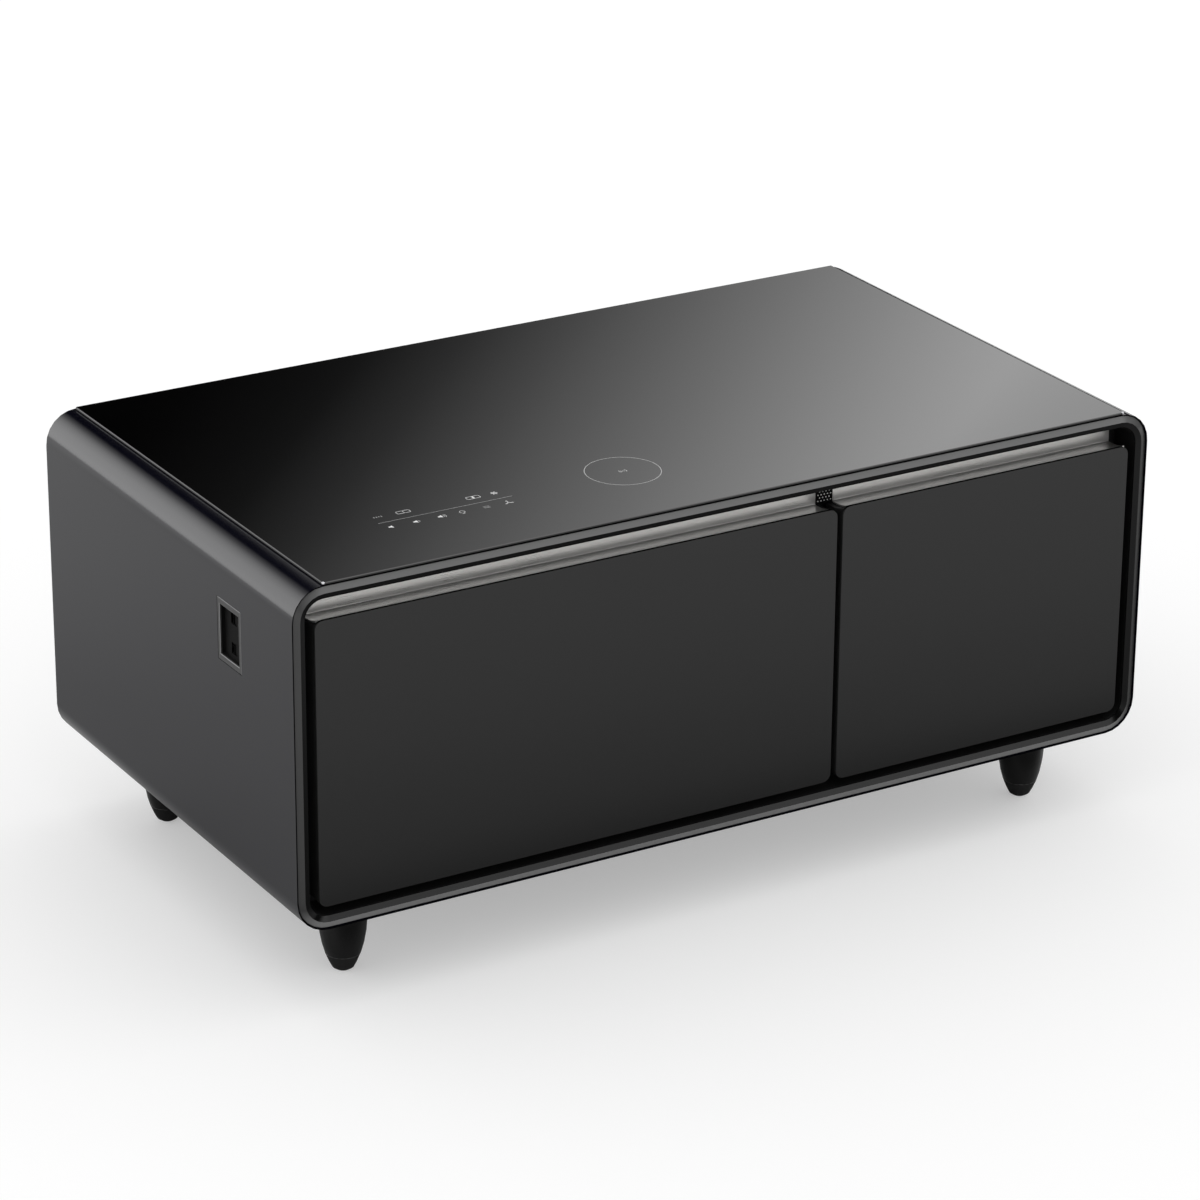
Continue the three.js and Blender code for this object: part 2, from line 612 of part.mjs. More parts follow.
function makeEvaporator(side) {
  const mouth = mouths[side];
  const back = cavityBackY[side] - seat;
  const face = back - evaporator.sheet;
  const x0 = mouth.left + evaporator.sideGap;
  const x1 = mouth.right - evaporator.sideGap;
  const centreZ = (mouth.bottom + mouth.top) / 2;
  const z0 = centreZ - evaporator.height / 2;
  const runPitch = evaporator.height / evaporator.runs;
  const half = evaporator.channel / 2;
  const bend = runPitch / 2;
  const raised = [face - evaporator.bulge, face + seat];
  let plate = box(x0, x1, face, back, z0, z0 + evaporator.height);
  for (let run = 0; run < evaporator.runs; run += 1) {
    const z = z0 + runPitch * (run + 1 / 2);
    plate = join(plate, box(x0 + 2 * bend, x1 - 2 * bend, ...raised, z - half, z + half));
    if (run + 1 < evaporator.runs) {
      const atRight = run % 2 === 0;
      const shape = new THREE.Shape();
      const start = atRight ? -Math.PI / 2 : Math.PI / 2;
      const centreX = atRight ? x1 - 2 * bend : x0 + 2 * bend;
      shape.absarc(centreX, z + bend, bend + half, start, start + Math.PI);
      shape.absarc(centreX, z + bend, bend - half, start + Math.PI, start, true);
      plate = join(plate, prismY(shape, ...raised, 0, evaporator.bendSteps));
    }
  }
  for (const [x, z] of stubPlaces(side)) {
    plate = join(plate, rodY(x, z, stub.radius, face, foamBackY[side] + stub.pass, smallSides));
  }
  place(`${side}_evaporator`, plate, finish.aluminium);
}

function makeFoam() {
  const start = fasciaBack + seat;
  const whole = prismY(insetShape(outline, insideWall), start, foamBackY.left);
  const cuts = [
    box(-sideX - overrun, sideX + overrun, start - overrun, backY, foamTop, topZ),
    box(compartmentX, sideX + overrun, foamBackY.right, backY, 0, topZ),
  ];
  for (const side of ['left', 'right']) {
    const margin = liner.wall + seat;
    const ends = [start - overrun, cavityBackY[side] + margin];
    const room = prismY(insetShape(mouths[side], -margin), ...ends, 0, smallSteps);
    cuts.push(room);
    for (const [x, z] of stubPlaces(side)) {
      cuts.push(rodY(x, z, stub.radius + stub.clearance, cavityBackY[side], backY, smallSides));
    }
  }
  const speakerEnd = start + speaker.flangeDepth + speaker.cone + magnet.length + overrun;
  cuts.push(prismY(speakerShape(speaker.flange + seat), start - overrun, speakerEnd, 0, smallSteps));
  const pocketEnd = -sideX + pocketBack.depth + pocketBack.wall + socketBody.depth + 2 * seat;
  const clearMargin = pocketBack.flange + seat;
  cuts.push(pocketBox(-sideX, pocketEnd, pocket.frame + clearMargin, pocket.frameHeight + clearMargin));
  place('foam_insulation', cut(whole, ...cuts), finish.foamYellow);
}

// Slides: cross-sections are drawn from the cavity wall inwards

// A channel with its web on one side and turned-in lips, as points of distance and height
function channelShape(webFrom, sheet, halfHeight, reach, lip) {
  const toward = Math.sign(reach);
  const webTo = webFrom + toward * sheet;
  const end = webFrom + reach;
  const lipFrom = end - toward * sheet;
  const inner = halfHeight - sheet;
  const low = inner - lip;
  const upper = [
    [webFrom, halfHeight], [end, halfHeight], [end, low], [lipFrom, low], [lipFrom, inner], [webTo, inner],
  ];
  const lower = upper.map(([u, z]) => [u, -z]).reverse();
  return [...upper, ...lower];
}

function railShape(points, wallX, direction, centreZ) {
  const shape = new THREE.Shape();
  points.forEach(([u, z], number) => {
    const x = wallX + direction * u;
    if (number === 0) {
      shape.moveTo(x, centreZ + z);
    } else {
      shape.lineTo(x, centreZ + z);
    }
  });
  return shape;
}

function makeSlides(side) {
  const mouth = mouths[side];
  const y0 = fasciaBack + rail.behindFascia;
  const y1 = cavityBackY[side] - rail.backGap;
  const centreZ = mouth.bottom + rail.lift;
  const half = rail.height / 2;
  const midHalf = half - railMid.drop;
  const binHalf = half - railBin.drop;
  const outerPoints = channelShape(seat, rail.sheet, half, railLip.outerReach, railLip.height - seat / 2);
  const midPoints = channelShape(seat + railMid.offset, rail.sheet, midHalf, railMid.reach, railLip.height);
  const binPoints = channelShape(rail.width, rail.sheet, binHalf, -railBin.reach, railLip.height);
  const cages = (u, from, to) => {
    const strips = [];
    for (const share of cage.placeShares) {
      const middle = y0 + share * (y1 - y0);
      for (const sign of [-1, 1]) {
        const zs = [centreZ + sign * from, centreZ + sign * to].sort((a, b) => a - b);
        strips.push([u, middle - cage.length / 2, middle + cage.length / 2, ...zs]);
      }
    }
    return strips;
  };
  const walls = [['outer', mouth.left, 1], ['inner', mouth.right, -1]];
  for (const [hand, wallX, direction] of walls) {
    const strip = ([u, ...rest]) => {
      const xs = [wallX + direction * u, wallX + direction * (u + cage.width)].sort((a, b) => a - b);
      return box(...xs, ...rest);
    };
    const outer = prismY(railShape(outerPoints, wallX, direction, centreZ), y0, y1);
    const midStart = seat + railMid.offset + rail.sheet;
    const middle = prismY(railShape(midPoints, wallX, direction, centreZ), y0, y1);
    const midCages = cages(midStart, midHalf - rail.sheet / 2, half - rail.sheet - seat).map(strip);
    const binRail = prismY(railShape(binPoints, wallX, direction, centreZ), y0, y1);
    const binStart = rail.width - railBin.reach + seat;
    const binCages = cages(binStart, binHalf - rail.sheet / 2, midHalf - rail.sheet - seat).map(strip);
    place(`${side}_wall_rail_${hand}`, outer, finish.railZinc);
    place(`${side}_middle_rail_${hand}`, join(middle, ...midCages), finish.railZinc);
    place(`${side}_bin_rail_${hand}`, join(binRail, ...binCages), finish.railZinc);
  }
}

// Drawers

const ringFrame = {
  left: -sideX + bezelInner, right: sideX - bezelInner, bottom: baseZ + bezelInner, top: topZ - bezelInner,
};
const frontFrames = {
  left: {
    left: ringFrame.left + front.sideGap, right: splitX - front.betweenGap / 2,
    bottom: ringFrame.bottom + front.bottomGap, top: ringFrame.top - front.topGap, corner: front.corner,
  },
  right: {
    left: splitX + front.betweenGap / 2, right: ringFrame.right - front.sideGap,
    bottom: ringFrame.bottom + front.bottomGap, top: ringFrame.top - front.topGap, corner: front.corner,
  },
};
const panBack = frontY + pan.setback + pan.depth;

function makePan(side) {
  const frame = frontFrames[side];
  const face = frontY + pan.setback;
  const outer = prismY(insetShape(frame, 0), face, panBack, pan.chamfer, smallSteps);
  const inner = prismY(insetShape(frame, pan.skin), face + pan.skin, panBack + overrun, 0, smallSteps);
  place(`${side}_front_panel`, cut(outer, inner), finish.frontLacquer);
}

// Floor line of the pull from its lip to the foot of its wall, drawn at a depth below the top face
function pullFloor(shape, frame, below) {
  const lipZ = frame.top - pull.lipDrop - below;
  const floorZ = frame.top - pull.floorDrop - below;
  const lipY = panBack + pull.front;
  const footY = frontY + pull.wallAt - pull.fillet;
  shape.lineTo(lipY, lipZ);
  shape.quadraticCurveTo((lipY + footY) / 2, floorZ - pullTop.sag, footY, floorZ);
}

function makePull(side) {
  const frame = frontFrames[side];
  const lipY = panBack + pull.front;
  const wallY = frontY + pull.wallAt;
  const footY = wallY - pull.fillet;
  const topEdge = ringFrame.top - pullTop.belowRing;
  const lowEdge = frame.top - pull.lipDrop - pull.wall;
  const floorZ = frame.top - pull.floorDrop;
  const shape = new THREE.Shape();
  shape.moveTo(lipY, lowEdge);
  pullFloor(shape, frame, 0);
  shape.absarc(footY, floorZ + pull.fillet, pull.fillet, -Math.PI / 2, 0);
  shape.lineTo(wallY, topEdge);
  shape.lineTo(wallY + pull.wall, topEdge);
  shape.lineTo(wallY + pull.wall, floorZ + pull.fillet);
  shape.absarc(footY, floorZ + pull.fillet, pull.fillet + pull.wall, 0, -Math.PI / 2, true);
  shape.quadraticCurveTo((lipY + footY) / 2, floorZ - pull.wall - pullTop.sag, lipY, lowEdge);
  const gaps = side === 'left' ? [pull.outerGap, pull.innerGap] : [pull.innerGap, pull.outerGap];
  const ends = [frame.left + gaps[0], frame.right - gaps[1]];
  place(`${side}_pull`, prismX(shape, ...ends, pullTop.steps), finish.pullSilver);
}

function makeCore(side) {
  const frame = frontFrames[side];
  const bossFront = frontY + pan.setback + pan.skin + seat;
  const bodyFront = panBack + seat;
  const body = prismY(insetShape(frame, core.inset), bodyFront, coreBack, 0, smallSteps);
  const boss = prismY(insetShape(frame, pan.skin + seat), bossFront, bodyFront + seat, 0, smallSteps);
  const below = pull.wall + seat;
  const floorZ = frame.top - pull.floorDrop - below;
  const flank = new THREE.Shape();
  flank.moveTo(bossFront - overrun, frame.bottom - overrun);
  flank.lineTo(bossFront - overrun, frame.top - pull.lipDrop - below);
  pullFloor(flank, frame, below);
  flank.lineTo(coreBack + overrun, floorZ);
  flank.lineTo(coreBack + overrun, frame.bottom - overrun);
  const room = prismX(flank, frame.left - overrun, frame.right + overrun, pullTop.steps);
  const block = common(join(body, boss), room);

  const inset = pan.skin + seat + core.wall;
  const x0 = frame.left + inset;
  const x1 = frame.right - inset;
  const low = frame.bottom + inset;
  const high = floorZ - pullTop.sag - core.wall;
  const columns = Math.round((x1 - x0) / core.cellPitch);
  const rows = Math.round((high - low) / core.cellPitch);
  const cellWidth = (x1 - x0 - (columns - 1) * core.wall) / columns;
  const cellHeight = (high - low - (rows - 1) * core.wall) / rows;
  const cells = [];
  for (let column = 0; column < columns; column += 1) {
    for (let row = 0; row < rows; row += 1) {
      const x = x0 + column * (cellWidth + core.wall);
      const z = low + row * (cellHeight + core.wall);
      cells.push(box(x, x + cellWidth, bossFront - overrun, coreBack - core.wall, z, z + cellHeight));
    }
  }
  place(`${side}_front_core`, cut(block, ...cells), finish.greyPlastic);
}

function makeGasket(side) {
  const y0 = coreBack + seat;
  const y1 = y0 + gasket.depth;
  const middle = (y0 + y1) / 2;
  const near = -gasket.outset;
  const far = near - gasket.width;
  const profile = [
    [near, y0], [near, y0 + gasket.lip], [near - gasket.waist, middle],
    [near, y1 - gasket.lip], [near, y1], [far, y1], [far, y1 - gasket.lip],
    [far + gasket.waist, middle], [far, y0 + gasket.lip], [far, y0],
  ];
  place(`${side}_gasket`, frameSweep(mouths[side], profile, smallSteps), finish.gasketGrey);
}

function makeBin(side) {
  const mouth = mouths[side];
  const sideGap = rail.width + seat;
  const x0 = mouth.left + sideGap;
  const x1 = mouth.right - sideGap;
  const y0 = coreBack + seat;
  const y1 = cavityBackY[side] - bin.backGap;
  const z0 = mouth.bottom + bin.floorLift;
  const z1 = mouth.top - bin.topDrop;
  const { wall } = bin;
  const outer = prismZ(roundedShape(x0, x1, y0, y1, bin.corner), z0, z1, 0, smallSteps);
  const rimFront = y0 + wall / 2;
  const rimShape = roundedShape(x0 - bin.rim, x1 + bin.rim, rimFront, y1 + bin.rim, bin.corner + bin.rim);
  const rim = prismZ(rimShape, z1 - bin.rimHeight, z1, 0, smallSteps);
  const innerShape = roundedShape(x0 + wall, x1 - wall, y0 + wall, y1 - wall, bin.corner - wall);
  const inner = prismZ(innerShape, z0 + wall, z1 + overrun, 0, smallSteps);
  const slots = [];
  const slotCount = Math.floor((x1 - x0 - 2 * bin.corner) / binSlot.pitch);
  for (let slot = 0; slot < slotCount; slot += 1) {
    const x = (x0 + x1) / 2 + (slot - (slotCount - 1) / 2) * binSlot.pitch;
    const xs = [x - binSlot.width / 2, x + binSlot.width / 2];
    const low = z0 + binSlot.lift;
    slots.push(box(...xs, y1 - wall - overrun, y1 + overrun, low, low + binSlot.height));
  }
  const ribs = [];
  const ribCount = Math.floor((x1 - x0 - 2 * bin.corner) / binRib.pitch);
  for (let rib = 0; rib < ribCount; rib += 1) {
    const x = (x0 + x1) / 2 + (rib - (ribCount - 1) / 2) * binRib.pitch;
    const xs = [x - binRib.width / 2, x + binRib.width / 2];
    const zs = [z0 + wall / 2, z0 + wall + binRib.height];
    ribs.push(box(...xs, y0 + wall / 2, y1 - wall / 2, ...zs));
  }
  place(`${side}_bin`, join(cut(join(outer, rim), inner, ...slots), ...ribs), finish.binGrey);
}

// Cooling unit behind the right drawer

function makeCompressor() {
  const plateTop = floorZ + pot.base;
  const plateBottom = plateTop - potFeet.plate;
  const top = floorZ + pot.height;
  const seam = (plateTop + top) / 2;
  const step = (pot.seam - pot.radius) / 2;
  const profile = [
    [0, plateTop - seat], [pot.radius - pot.dome / 2, plateTop - seat],
    [pot.radius, plateTop + pot.dome / 2],
    [pot.radius, seam - step], [pot.seam, seam - step], [pot.seam, seam + step], [pot.radius, seam + step],
    ...domeShares.map(([radiusShare, drop]) => [radiusShare * pot.radius, top - drop * pot.dome]),
  ];
  const halfX = potFeet.plateWidth / 2;
  const halfY = potFeet.plateDepth / 2;
  const body = turned(profile, potAt.x, potAt.y);
  const plateXs = [potAt.x - halfX, potAt.x + halfX];
  const plate = box(...plateXs, potAt.y - halfY, potAt.y + halfY, plateBottom, plateTop);
  const feet = [];
  for (const signX of [-1, 1]) {
    for (const signY of [-1, 1]) {
      const x = potAt.x + signX * (halfX - potFeet.inset);
      const y = potAt.y + signY * (halfY - potFeet.inset);
      feet.push(rodZ(x, y, potFeet.radius, floorZ, plateTop - seat, smallSides));
    }
  }
  const relayZ = plateTop + relay.lift;
  const relayX = [potAt.x - relay.width / 2, potAt.x + relay.width / 2];
  const relayY = [potAt.y - pot.radius - relay.depth, potAt.y - pot.radius + relay.sink];
  const cover = box(...relayX, ...relayY, relayZ - relay.height / 2, relayZ + relay.height / 2);
  place('compressor', join(body, plate, cover, ...feet), finish.potBlack);
}

const condenserY = { back: backY - condenser.back, front: backY - condenser.back - condenser.depth };

function makeCondenser() {
  const x0 = condenserX - condenser.width / 2;
  const x1 = condenserX + condenser.width / 2;
  const z0 = floorZ;
  const z1 = floorZ + condenser.height;
  const ys = [condenserY.front, condenserY.back];
  let block = box(x0, x0 + condenser.sheet, ...ys, z0, z1);
  block = join(block, box(x1 - condenser.sheet, x1, ...ys, z0, z1));
  const rowPitch = condenser.height / fins.tubeRows;
  const middleY = (condenserY.front + condenserY.back) / 2;
  const finRoom = condenser.width - 2 * condenser.sheet;
  const finPitch = finRoom / (fins.count + 1);
  const pieces = [];
  for (let fin = 1; fin <= fins.count; fin += 1) {
    const x = x0 + condenser.sheet + fin * finPitch;
    const xs = [x - fins.sheet / 2, x + fins.sheet / 2];
    pieces.push(box(...xs, ys[0] + seat, ys[1] - seat, z0 + seat, z1 - seat));
  }
  for (let row = 0; row < fins.tubeRows; row += 1) {
    const { tubeRadius, tubeSides } = fins;
    const tube = new THREE.CylinderGeometry(tubeRadius, tubeRadius, condenser.width, tubeSides);
    tube.rotateZ(Math.PI / 2);
    tube.translate(condenserX, middleY, z0 + rowPitch * (row + 1 / 2));
    pieces.push(tube);
  }
  place('condenser', join(block, ...pieces), finish.aluminium);
}

// Fan: a square housing with a motor carried on struts, and a rotor of twisted blades
const fanAt = { x: condenserX, z: floorZ + fan.size / 2, back: condenserY.front - seat };
const fanFrontY = fanAt.back - fan.depth;

function makeFanHousing() {
  const half = fan.size / 2;
  const ys = [fanFrontY, fanAt.back];
  const square = box(fanAt.x - half, fanAt.x + half, ...ys, fanAt.z - half, fanAt.z + half);
  const bore = rodY(fanAt.x, fanAt.z, fan.bore, ys[0] - overrun, ys[1] + overrun, boreSides);
  const motorBack = fanAt.back;
  const motor = rodY(fanAt.x, fanAt.z, fan.motor, motorBack - fan.motorDepth, motorBack);
  const pieces = [motor];
  for (const turn of [0, 1]) {
    const reach = fan.bore + fanStrut.sink;
    const strut = new THREE.BoxGeometry(2 * reach, fanStrut.sheet, fanStrut.width);
    strut.rotateY(Math.PI / 4 + turn * Math.PI / 2);
    strut.translate(fanAt.x, motorBack - fanStrut.sheet / 2, fanAt.z);
    pieces.push(strut);
  }
  const shaftFront = motorBack - fan.motorDepth - shaft.length;
  pieces.push(rodY(fanAt.x, fanAt.z, shaft.radius, shaftFront, motorBack, smallSides));
  place('fan_housing', join(cut(square, bore), ...pieces), finish.blackPlastic);
}

// One blade: sections from the hub to the tip, each a thin slice turned about its radius
function bladeGeometry(angle, middleY) {
  const { sections } = rotor;
  const rows = [];
  for (let section = 0; section < sections; section += 1) {
    const share = section / (sections - 1);
    const radius = THREE.MathUtils.lerp(rotor.hub - rotor.sheet, rotor.tip, share);
    const turn = THREE.MathUtils.degToRad(THREE.MathUtils.lerp(blade.rootTurn, blade.tipTurn, share));
    const chord = THREE.MathUtils.lerp(blade.rootChord, blade.tipChord, share);
    const across = [Math.cos(turn) * chord / 2, Math.sin(turn) * chord / 2];
    const thick = [-Math.sin(turn) * rotor.sheet / 2, Math.cos(turn) * rotor.sheet / 2];
    const corners = [[-1, -1], [1, -1], [1, 1], [-1, 1]];
    rows.push(corners.map(([alongChord, alongThickness]) => {
      const tangent = alongChord * across[0] + alongThickness * thick[0];
      const y = middleY + alongChord * across[1] + alongThickness * thick[1];
      const bearing = angle + tangent / radius;
      return [fanAt.x + radius * Math.cos(bearing), y, fanAt.z + radius * Math.sin(bearing)];
    }));
  }
  const index = [0, 1, 2, 0, 2, 3];
  const last = (sections - 1) * 4;
  index.push(last, last + 2, last + 1, last, last + 3, last + 2);
  for (let section = 0; section + 1 < sections; section += 1) {
    for (let side = 0; side < 4; side += 1) {
      const a = section * 4 + side;
      const b = section * 4 + (side + 1) % 4;
      index.push(a, a + 4, b, b, a + 4, b + 4);
    }
  }
  const geometry = new THREE.BufferGeometry();
  geometry.setAttribute('position', new THREE.Float32BufferAttribute(rows.flat(2), 3));
  geometry.setIndex(index);
  return geometry;
}

function makeRotor() {
  const hubBack = fanAt.back - fan.motorDepth - shaft.clearance;
  const hubFront = hubBack - rotor.hubDepth;
  const middleY = (hubFront + hubBack) / 2;
  let solid = rodY(fanAt.x, fanAt.z, rotor.hub, hubFront, hubBack);
  for (let number = 0; number < rotor.blades; number += 1) {
    solid = join(solid, bladeGeometry(number * 2 * Math.PI / rotor.blades, middleY));
  }
  const boreRadius = shaft.radius + shaft.clearance;
  const boreEnd = fanAt.back - fan.motorDepth - shaft.length - shaft.clearance;
  const bore = rodY(fanAt.x, fanAt.z, boreRadius, boreEnd, hubBack + overrun, smallSides);
  place('fan_rotor', cut(solid, bore), finish.blackPlastic);
}

function makeControlBoard() {
  const x0 = compartmentX + seat;
  const boardX = x0 + control.standoff;
  const halfY = control.width / 2;
  const halfZ = control.height / 2;
  const ys = [controlAt.y - halfY, controlAt.y + halfY];
  const zs = [controlAt.z - halfZ, controlAt.z + halfZ];
  let geometry = box(boardX, boardX + control.thickness, ...ys, ...zs);
  for (const signY of [-1, 1]) {
    for (const signZ of [-1, 1]) {
      const y = controlAt.y + signY * (halfY - control.post);
      const z = controlAt.z + signZ * (halfZ - control.post);
      const half = control.post / 2;
      geometry = join(geometry, box(x0, boardX + seat, y - half, y + half, z - half, z + half));
    }
  }
  const boardTop = boardX + control.thickness;
  const tallXs = [boardTop - seat, boardTop + controlBlock.tall];
  const large = box(...tallXs, ys[0] + control.post, controlAt.y, zs[0] + control.post, controlAt.z);
  const lowXs = [boardTop - seat, boardTop + controlBlock.low];
  const lowYs = [controlAt.y + control.post, ys[1] - control.post];
  const small = box(...lowXs, ...lowYs, controlAt.z, zs[1] - control.post);
  place('control_board', join(geometry, large, small), finish.boardGreen);
}

function makeInlet() {
  const outside = panelBack + seat;
  const flangeTop = outside + inletFlange.sheet;
  const halfX = inlet.width / 2;
  const halfZ = inlet.height / 2;
  const flangeX = halfX + inletFlange.reach;
  const flangeZ = halfZ + inletFlange.rise;
  const flangeXs = [inletAt.x - flangeX, inletAt.x + flangeX];
  const shape = roundedShape(...flangeXs, inletAt.z - flangeZ, inletAt.z + flangeZ, inletFlange.corner);
  const flange = prismY(shape, outside, flangeTop, 0, smallSteps);
  const boxAround = (marginX, y0, y1, marginZ) => {
    const xs = [inletAt.x - halfX - marginX, inletAt.x + halfX + marginX];
    return box(...xs, y0, y1, inletAt.z - halfZ - marginZ, inletAt.z + halfZ + marginZ);
  };
  const body = boxAround(0, outside - inlet.depth, outside + seat, 0);
  const floorY = flangeTop - inletCavity.depth;
  const hollow = boxAround(-inletCavity.wall, floorY, flangeTop + overrun, -inletCavity.wall);
  const pinYs = [floorY - seat, floorY + inletPin.reach];
  const pinZ = inletAt.z - halfZ + inletCavity.wall + inletPin.lift;
  const pins = [-1, 0, 1].map((step) => {
    const x = inletAt.x + step * inletPin.pitch;
    const halfPin = inletPin.width / 2;
    return box(x - halfPin, x + halfPin, ...pinYs, pinZ, pinZ + inletPin.height);
  });
  place('power_inlet', join(cut(join(flange, body), hollow), ...pins), finish.blackPlastic);
}

// Pipe through a list of points, with rounded bends
function pipeGeometry(points) {
  const path = new THREE.CurvePath();
  let from = points[0];
  for (let number = 1; number + 1 < points.length; number += 1) {
    const corner = points[number];
    const before = corner.clone().sub(points[number - 1]).setLength(pipe.bend);
    const after = points[number + 1].clone().sub(corner).setLength(pipe.bend);
    const start = corner.clone().sub(before);
    const end = corner.clone().add(after);
    path.add(new THREE.LineCurve3(from, start));
    path.add(new THREE.QuadraticBezierCurve3(start, corner, end));
    from = end;
  }
  path.add(new THREE.LineCurve3(from, points[points.length - 1]));
  const section = new THREE.Shape();
  for (let side = 0; side < pipe.sides; side += 1) {
    const angle = side * 2 * Math.PI / pipe.sides;
    const method = side === 0 ? 'moveTo' : 'lineTo';
    section[method](pipe.radius * Math.cos(angle), pipe.radius * Math.sin(angle));
  }
  const steps = Math.ceil(path.getLength() / pipe.step);
  return new THREE.ExtrudeGeometry(section, { steps, bevelEnabled: false, extrudePath: path });
}

// The circuit runs from the pot through condenser, drier, left and right evaporator, back to the pot
function makePipes() {
  const at = (x, y, z) => new THREE.Vector3(x, y, z);
  const [leftIn, leftOut] = stubPlaces('left');
  const [rightIn, rightOut] = stubPlaces('right');
  const leftY = foamBackY.left + stub.pass + seat;
  const rightY = foamBackY.right + stub.pass + seat;
  const laneY = backY - condenser.back / 2;
  const potTop = floorZ + pot.height;
  const coilX = condenserX - condenser.width / 2 - seat;
  const coilY = (condenserY.front + condenserY.back) / 2;
  const rowPitch = condenser.height / fins.tubeRows;
  const lowRow = floorZ + rowPitch / 2;
  const highRow = floorZ + condenser.height - rowPitch / 2;
  const riserX = coilX - pipe.bend - pipe.radius;
  const potSide = potAt.x + pot.radius + seat;

  const discharge = pipeGeometry([
    at(potSide, potAt.y, highRow), at(riserX, potAt.y, highRow),
    at(riserX, coilY, highRow), at(coilX, coilY, highRow),
  ]);
  place('discharge_pipe', discharge, finish.copper);

  const feed = pipeGeometry([
    at(coilX, coilY, lowRow), at(riserX, coilY, lowRow), at(riserX, laneY, lowRow),
    at(riserX, laneY, leftIn[1]), at(leftIn[0], laneY, leftIn[1]), at(leftIn[0], leftY, leftIn[1]),
  ]);
  const drierZ = (lowRow + leftIn[1]) / 2;
  const half = drier.length / 2;
  const profile = [
    [0, drierZ - half], [pipe.radius, drierZ - half], [drier.radius, drierZ - half + drier.neck],
    [drier.radius, drierZ + half - drier.neck], [pipe.radius, drierZ + half], [0, drierZ + half],
  ];
  place('filter_drier', join(feed, turned(profile, riserX, laneY, smallSides)), finish.copper);

  const linkY = rightY + pipe.linkLane;
  const link = pipeGeometry([
    at(leftOut[0], leftY, leftOut[1]), at(leftOut[0], laneY, leftOut[1]),
    at(rightIn[0], laneY, leftOut[1]), at(rightIn[0], linkY, leftOut[1]),
    at(rightIn[0], linkY, rightIn[1]), at(rightIn[0], rightY, rightIn[1]),
  ]);
  place('link_pipe', link, finish.copper);

  const suctionY = rightY + pipe.suctionLane;
  const suction = pipeGeometry([
    at(rightOut[0], rightY, rightOut[1]), at(rightOut[0], suctionY, rightOut[1]),
    at(potAt.x, suctionY, rightOut[1]), at(potAt.x, potAt.y, rightOut[1]),
    at(potAt.x, potAt.y, potTop + seat),
  ]);
  place('suction_pipe', suction, finish.copper);
}

// Legs

function legRadius(height) {
  const share = height / legHeight;
  return leg.footRadius + (leg.topRadius - leg.footRadius) * (1 - (1 - share) ** leg.roundness);
}

function makeLegs() {
  const plateTop = legHeight - seat;
  const plateBottom = plateTop - legPlate.thickness;
  const shankTop = plateBottom - seat;
  const shankBottom = leg.tip + seat;
  const tipTop = leg.tip;
  for (const [end, signY] of [['front', -1], ['back', 1]]) {
    for (const [hand, signX] of [['left', -1], ['right', 1]]) {
      const x = signX * (sideX - leg.fromSide);
      const y = signY * (backY - leg.fromFront);
      const shank = [[0, shankBottom]];
      for (const share of legEdge.shankShares) {
        const height = shankBottom + share * (shankTop - shankBottom);
        shank.push([legRadius(height), height]);
      }
      shank.push([0, shankTop]);
      const tip = [[0, 0], [legRadius(0) - legEdge.footEase, 0]];
      for (const share of legEdge.tipShares) {
        const height = share * tipTop;
        tip.push([legRadius(height), height]);
      }
      tip.push([0, tipTop]);
      const plate = rodZ(x, y, leg.topRadius - legPlate.inset, plateBottom, plateTop);
      place(`leg_${end}_${hand}`, turned(shank, x, y), finish.legBlack);
      place(`leg_tip_${end}_${hand}`, turned(tip, x, y), finish.footRubber);
      place(`leg_plate_${end}_${hand}`, plate, finish.potBlack);
    }
  }
}

makeCasing();
makeBackPanel();
makeGlass();
makeBezel();
makeFascia();
makeSpeaker();
makeTouchBoard();
makeCoil();
makePocket();
makeSockets();
makeFoam();
for (const side of ['left', 'right']) {
  makeLiner(side);
  makeEvaporator(side);
  makeSlides(side);
  makePan(side);
  makePull(side);
  makeCore(side);
  makeGasket(side);
  makeBin(side);
}
makeCompressor();
makeCondenser();
makeFanHousing();
makeRotor();
makeControlBoard();
makeInlet();
makePipes();
makeLegs();

export default table;
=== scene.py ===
import json
import math

import bmesh
import bpy
from mathutils import Matrix, Quaternion, Vector


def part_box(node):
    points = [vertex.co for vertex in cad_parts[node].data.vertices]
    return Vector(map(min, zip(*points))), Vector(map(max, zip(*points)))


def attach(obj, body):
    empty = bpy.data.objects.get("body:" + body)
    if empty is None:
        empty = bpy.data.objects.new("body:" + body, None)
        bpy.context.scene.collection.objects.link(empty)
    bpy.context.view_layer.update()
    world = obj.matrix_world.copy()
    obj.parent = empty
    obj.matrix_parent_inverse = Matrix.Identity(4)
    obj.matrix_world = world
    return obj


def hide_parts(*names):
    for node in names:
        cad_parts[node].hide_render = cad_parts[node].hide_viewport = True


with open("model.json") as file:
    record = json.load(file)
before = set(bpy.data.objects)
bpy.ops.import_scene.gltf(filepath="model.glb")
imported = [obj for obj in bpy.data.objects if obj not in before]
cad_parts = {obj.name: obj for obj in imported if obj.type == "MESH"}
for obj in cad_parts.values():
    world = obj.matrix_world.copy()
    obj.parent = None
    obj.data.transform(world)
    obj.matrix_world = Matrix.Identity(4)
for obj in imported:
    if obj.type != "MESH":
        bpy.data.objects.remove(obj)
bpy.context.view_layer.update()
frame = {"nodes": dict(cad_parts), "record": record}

MM = 0.001
TOUCHING = 0.01 * MM
SAME_WAY = 0.9
IMAGE_SIDE = 1200

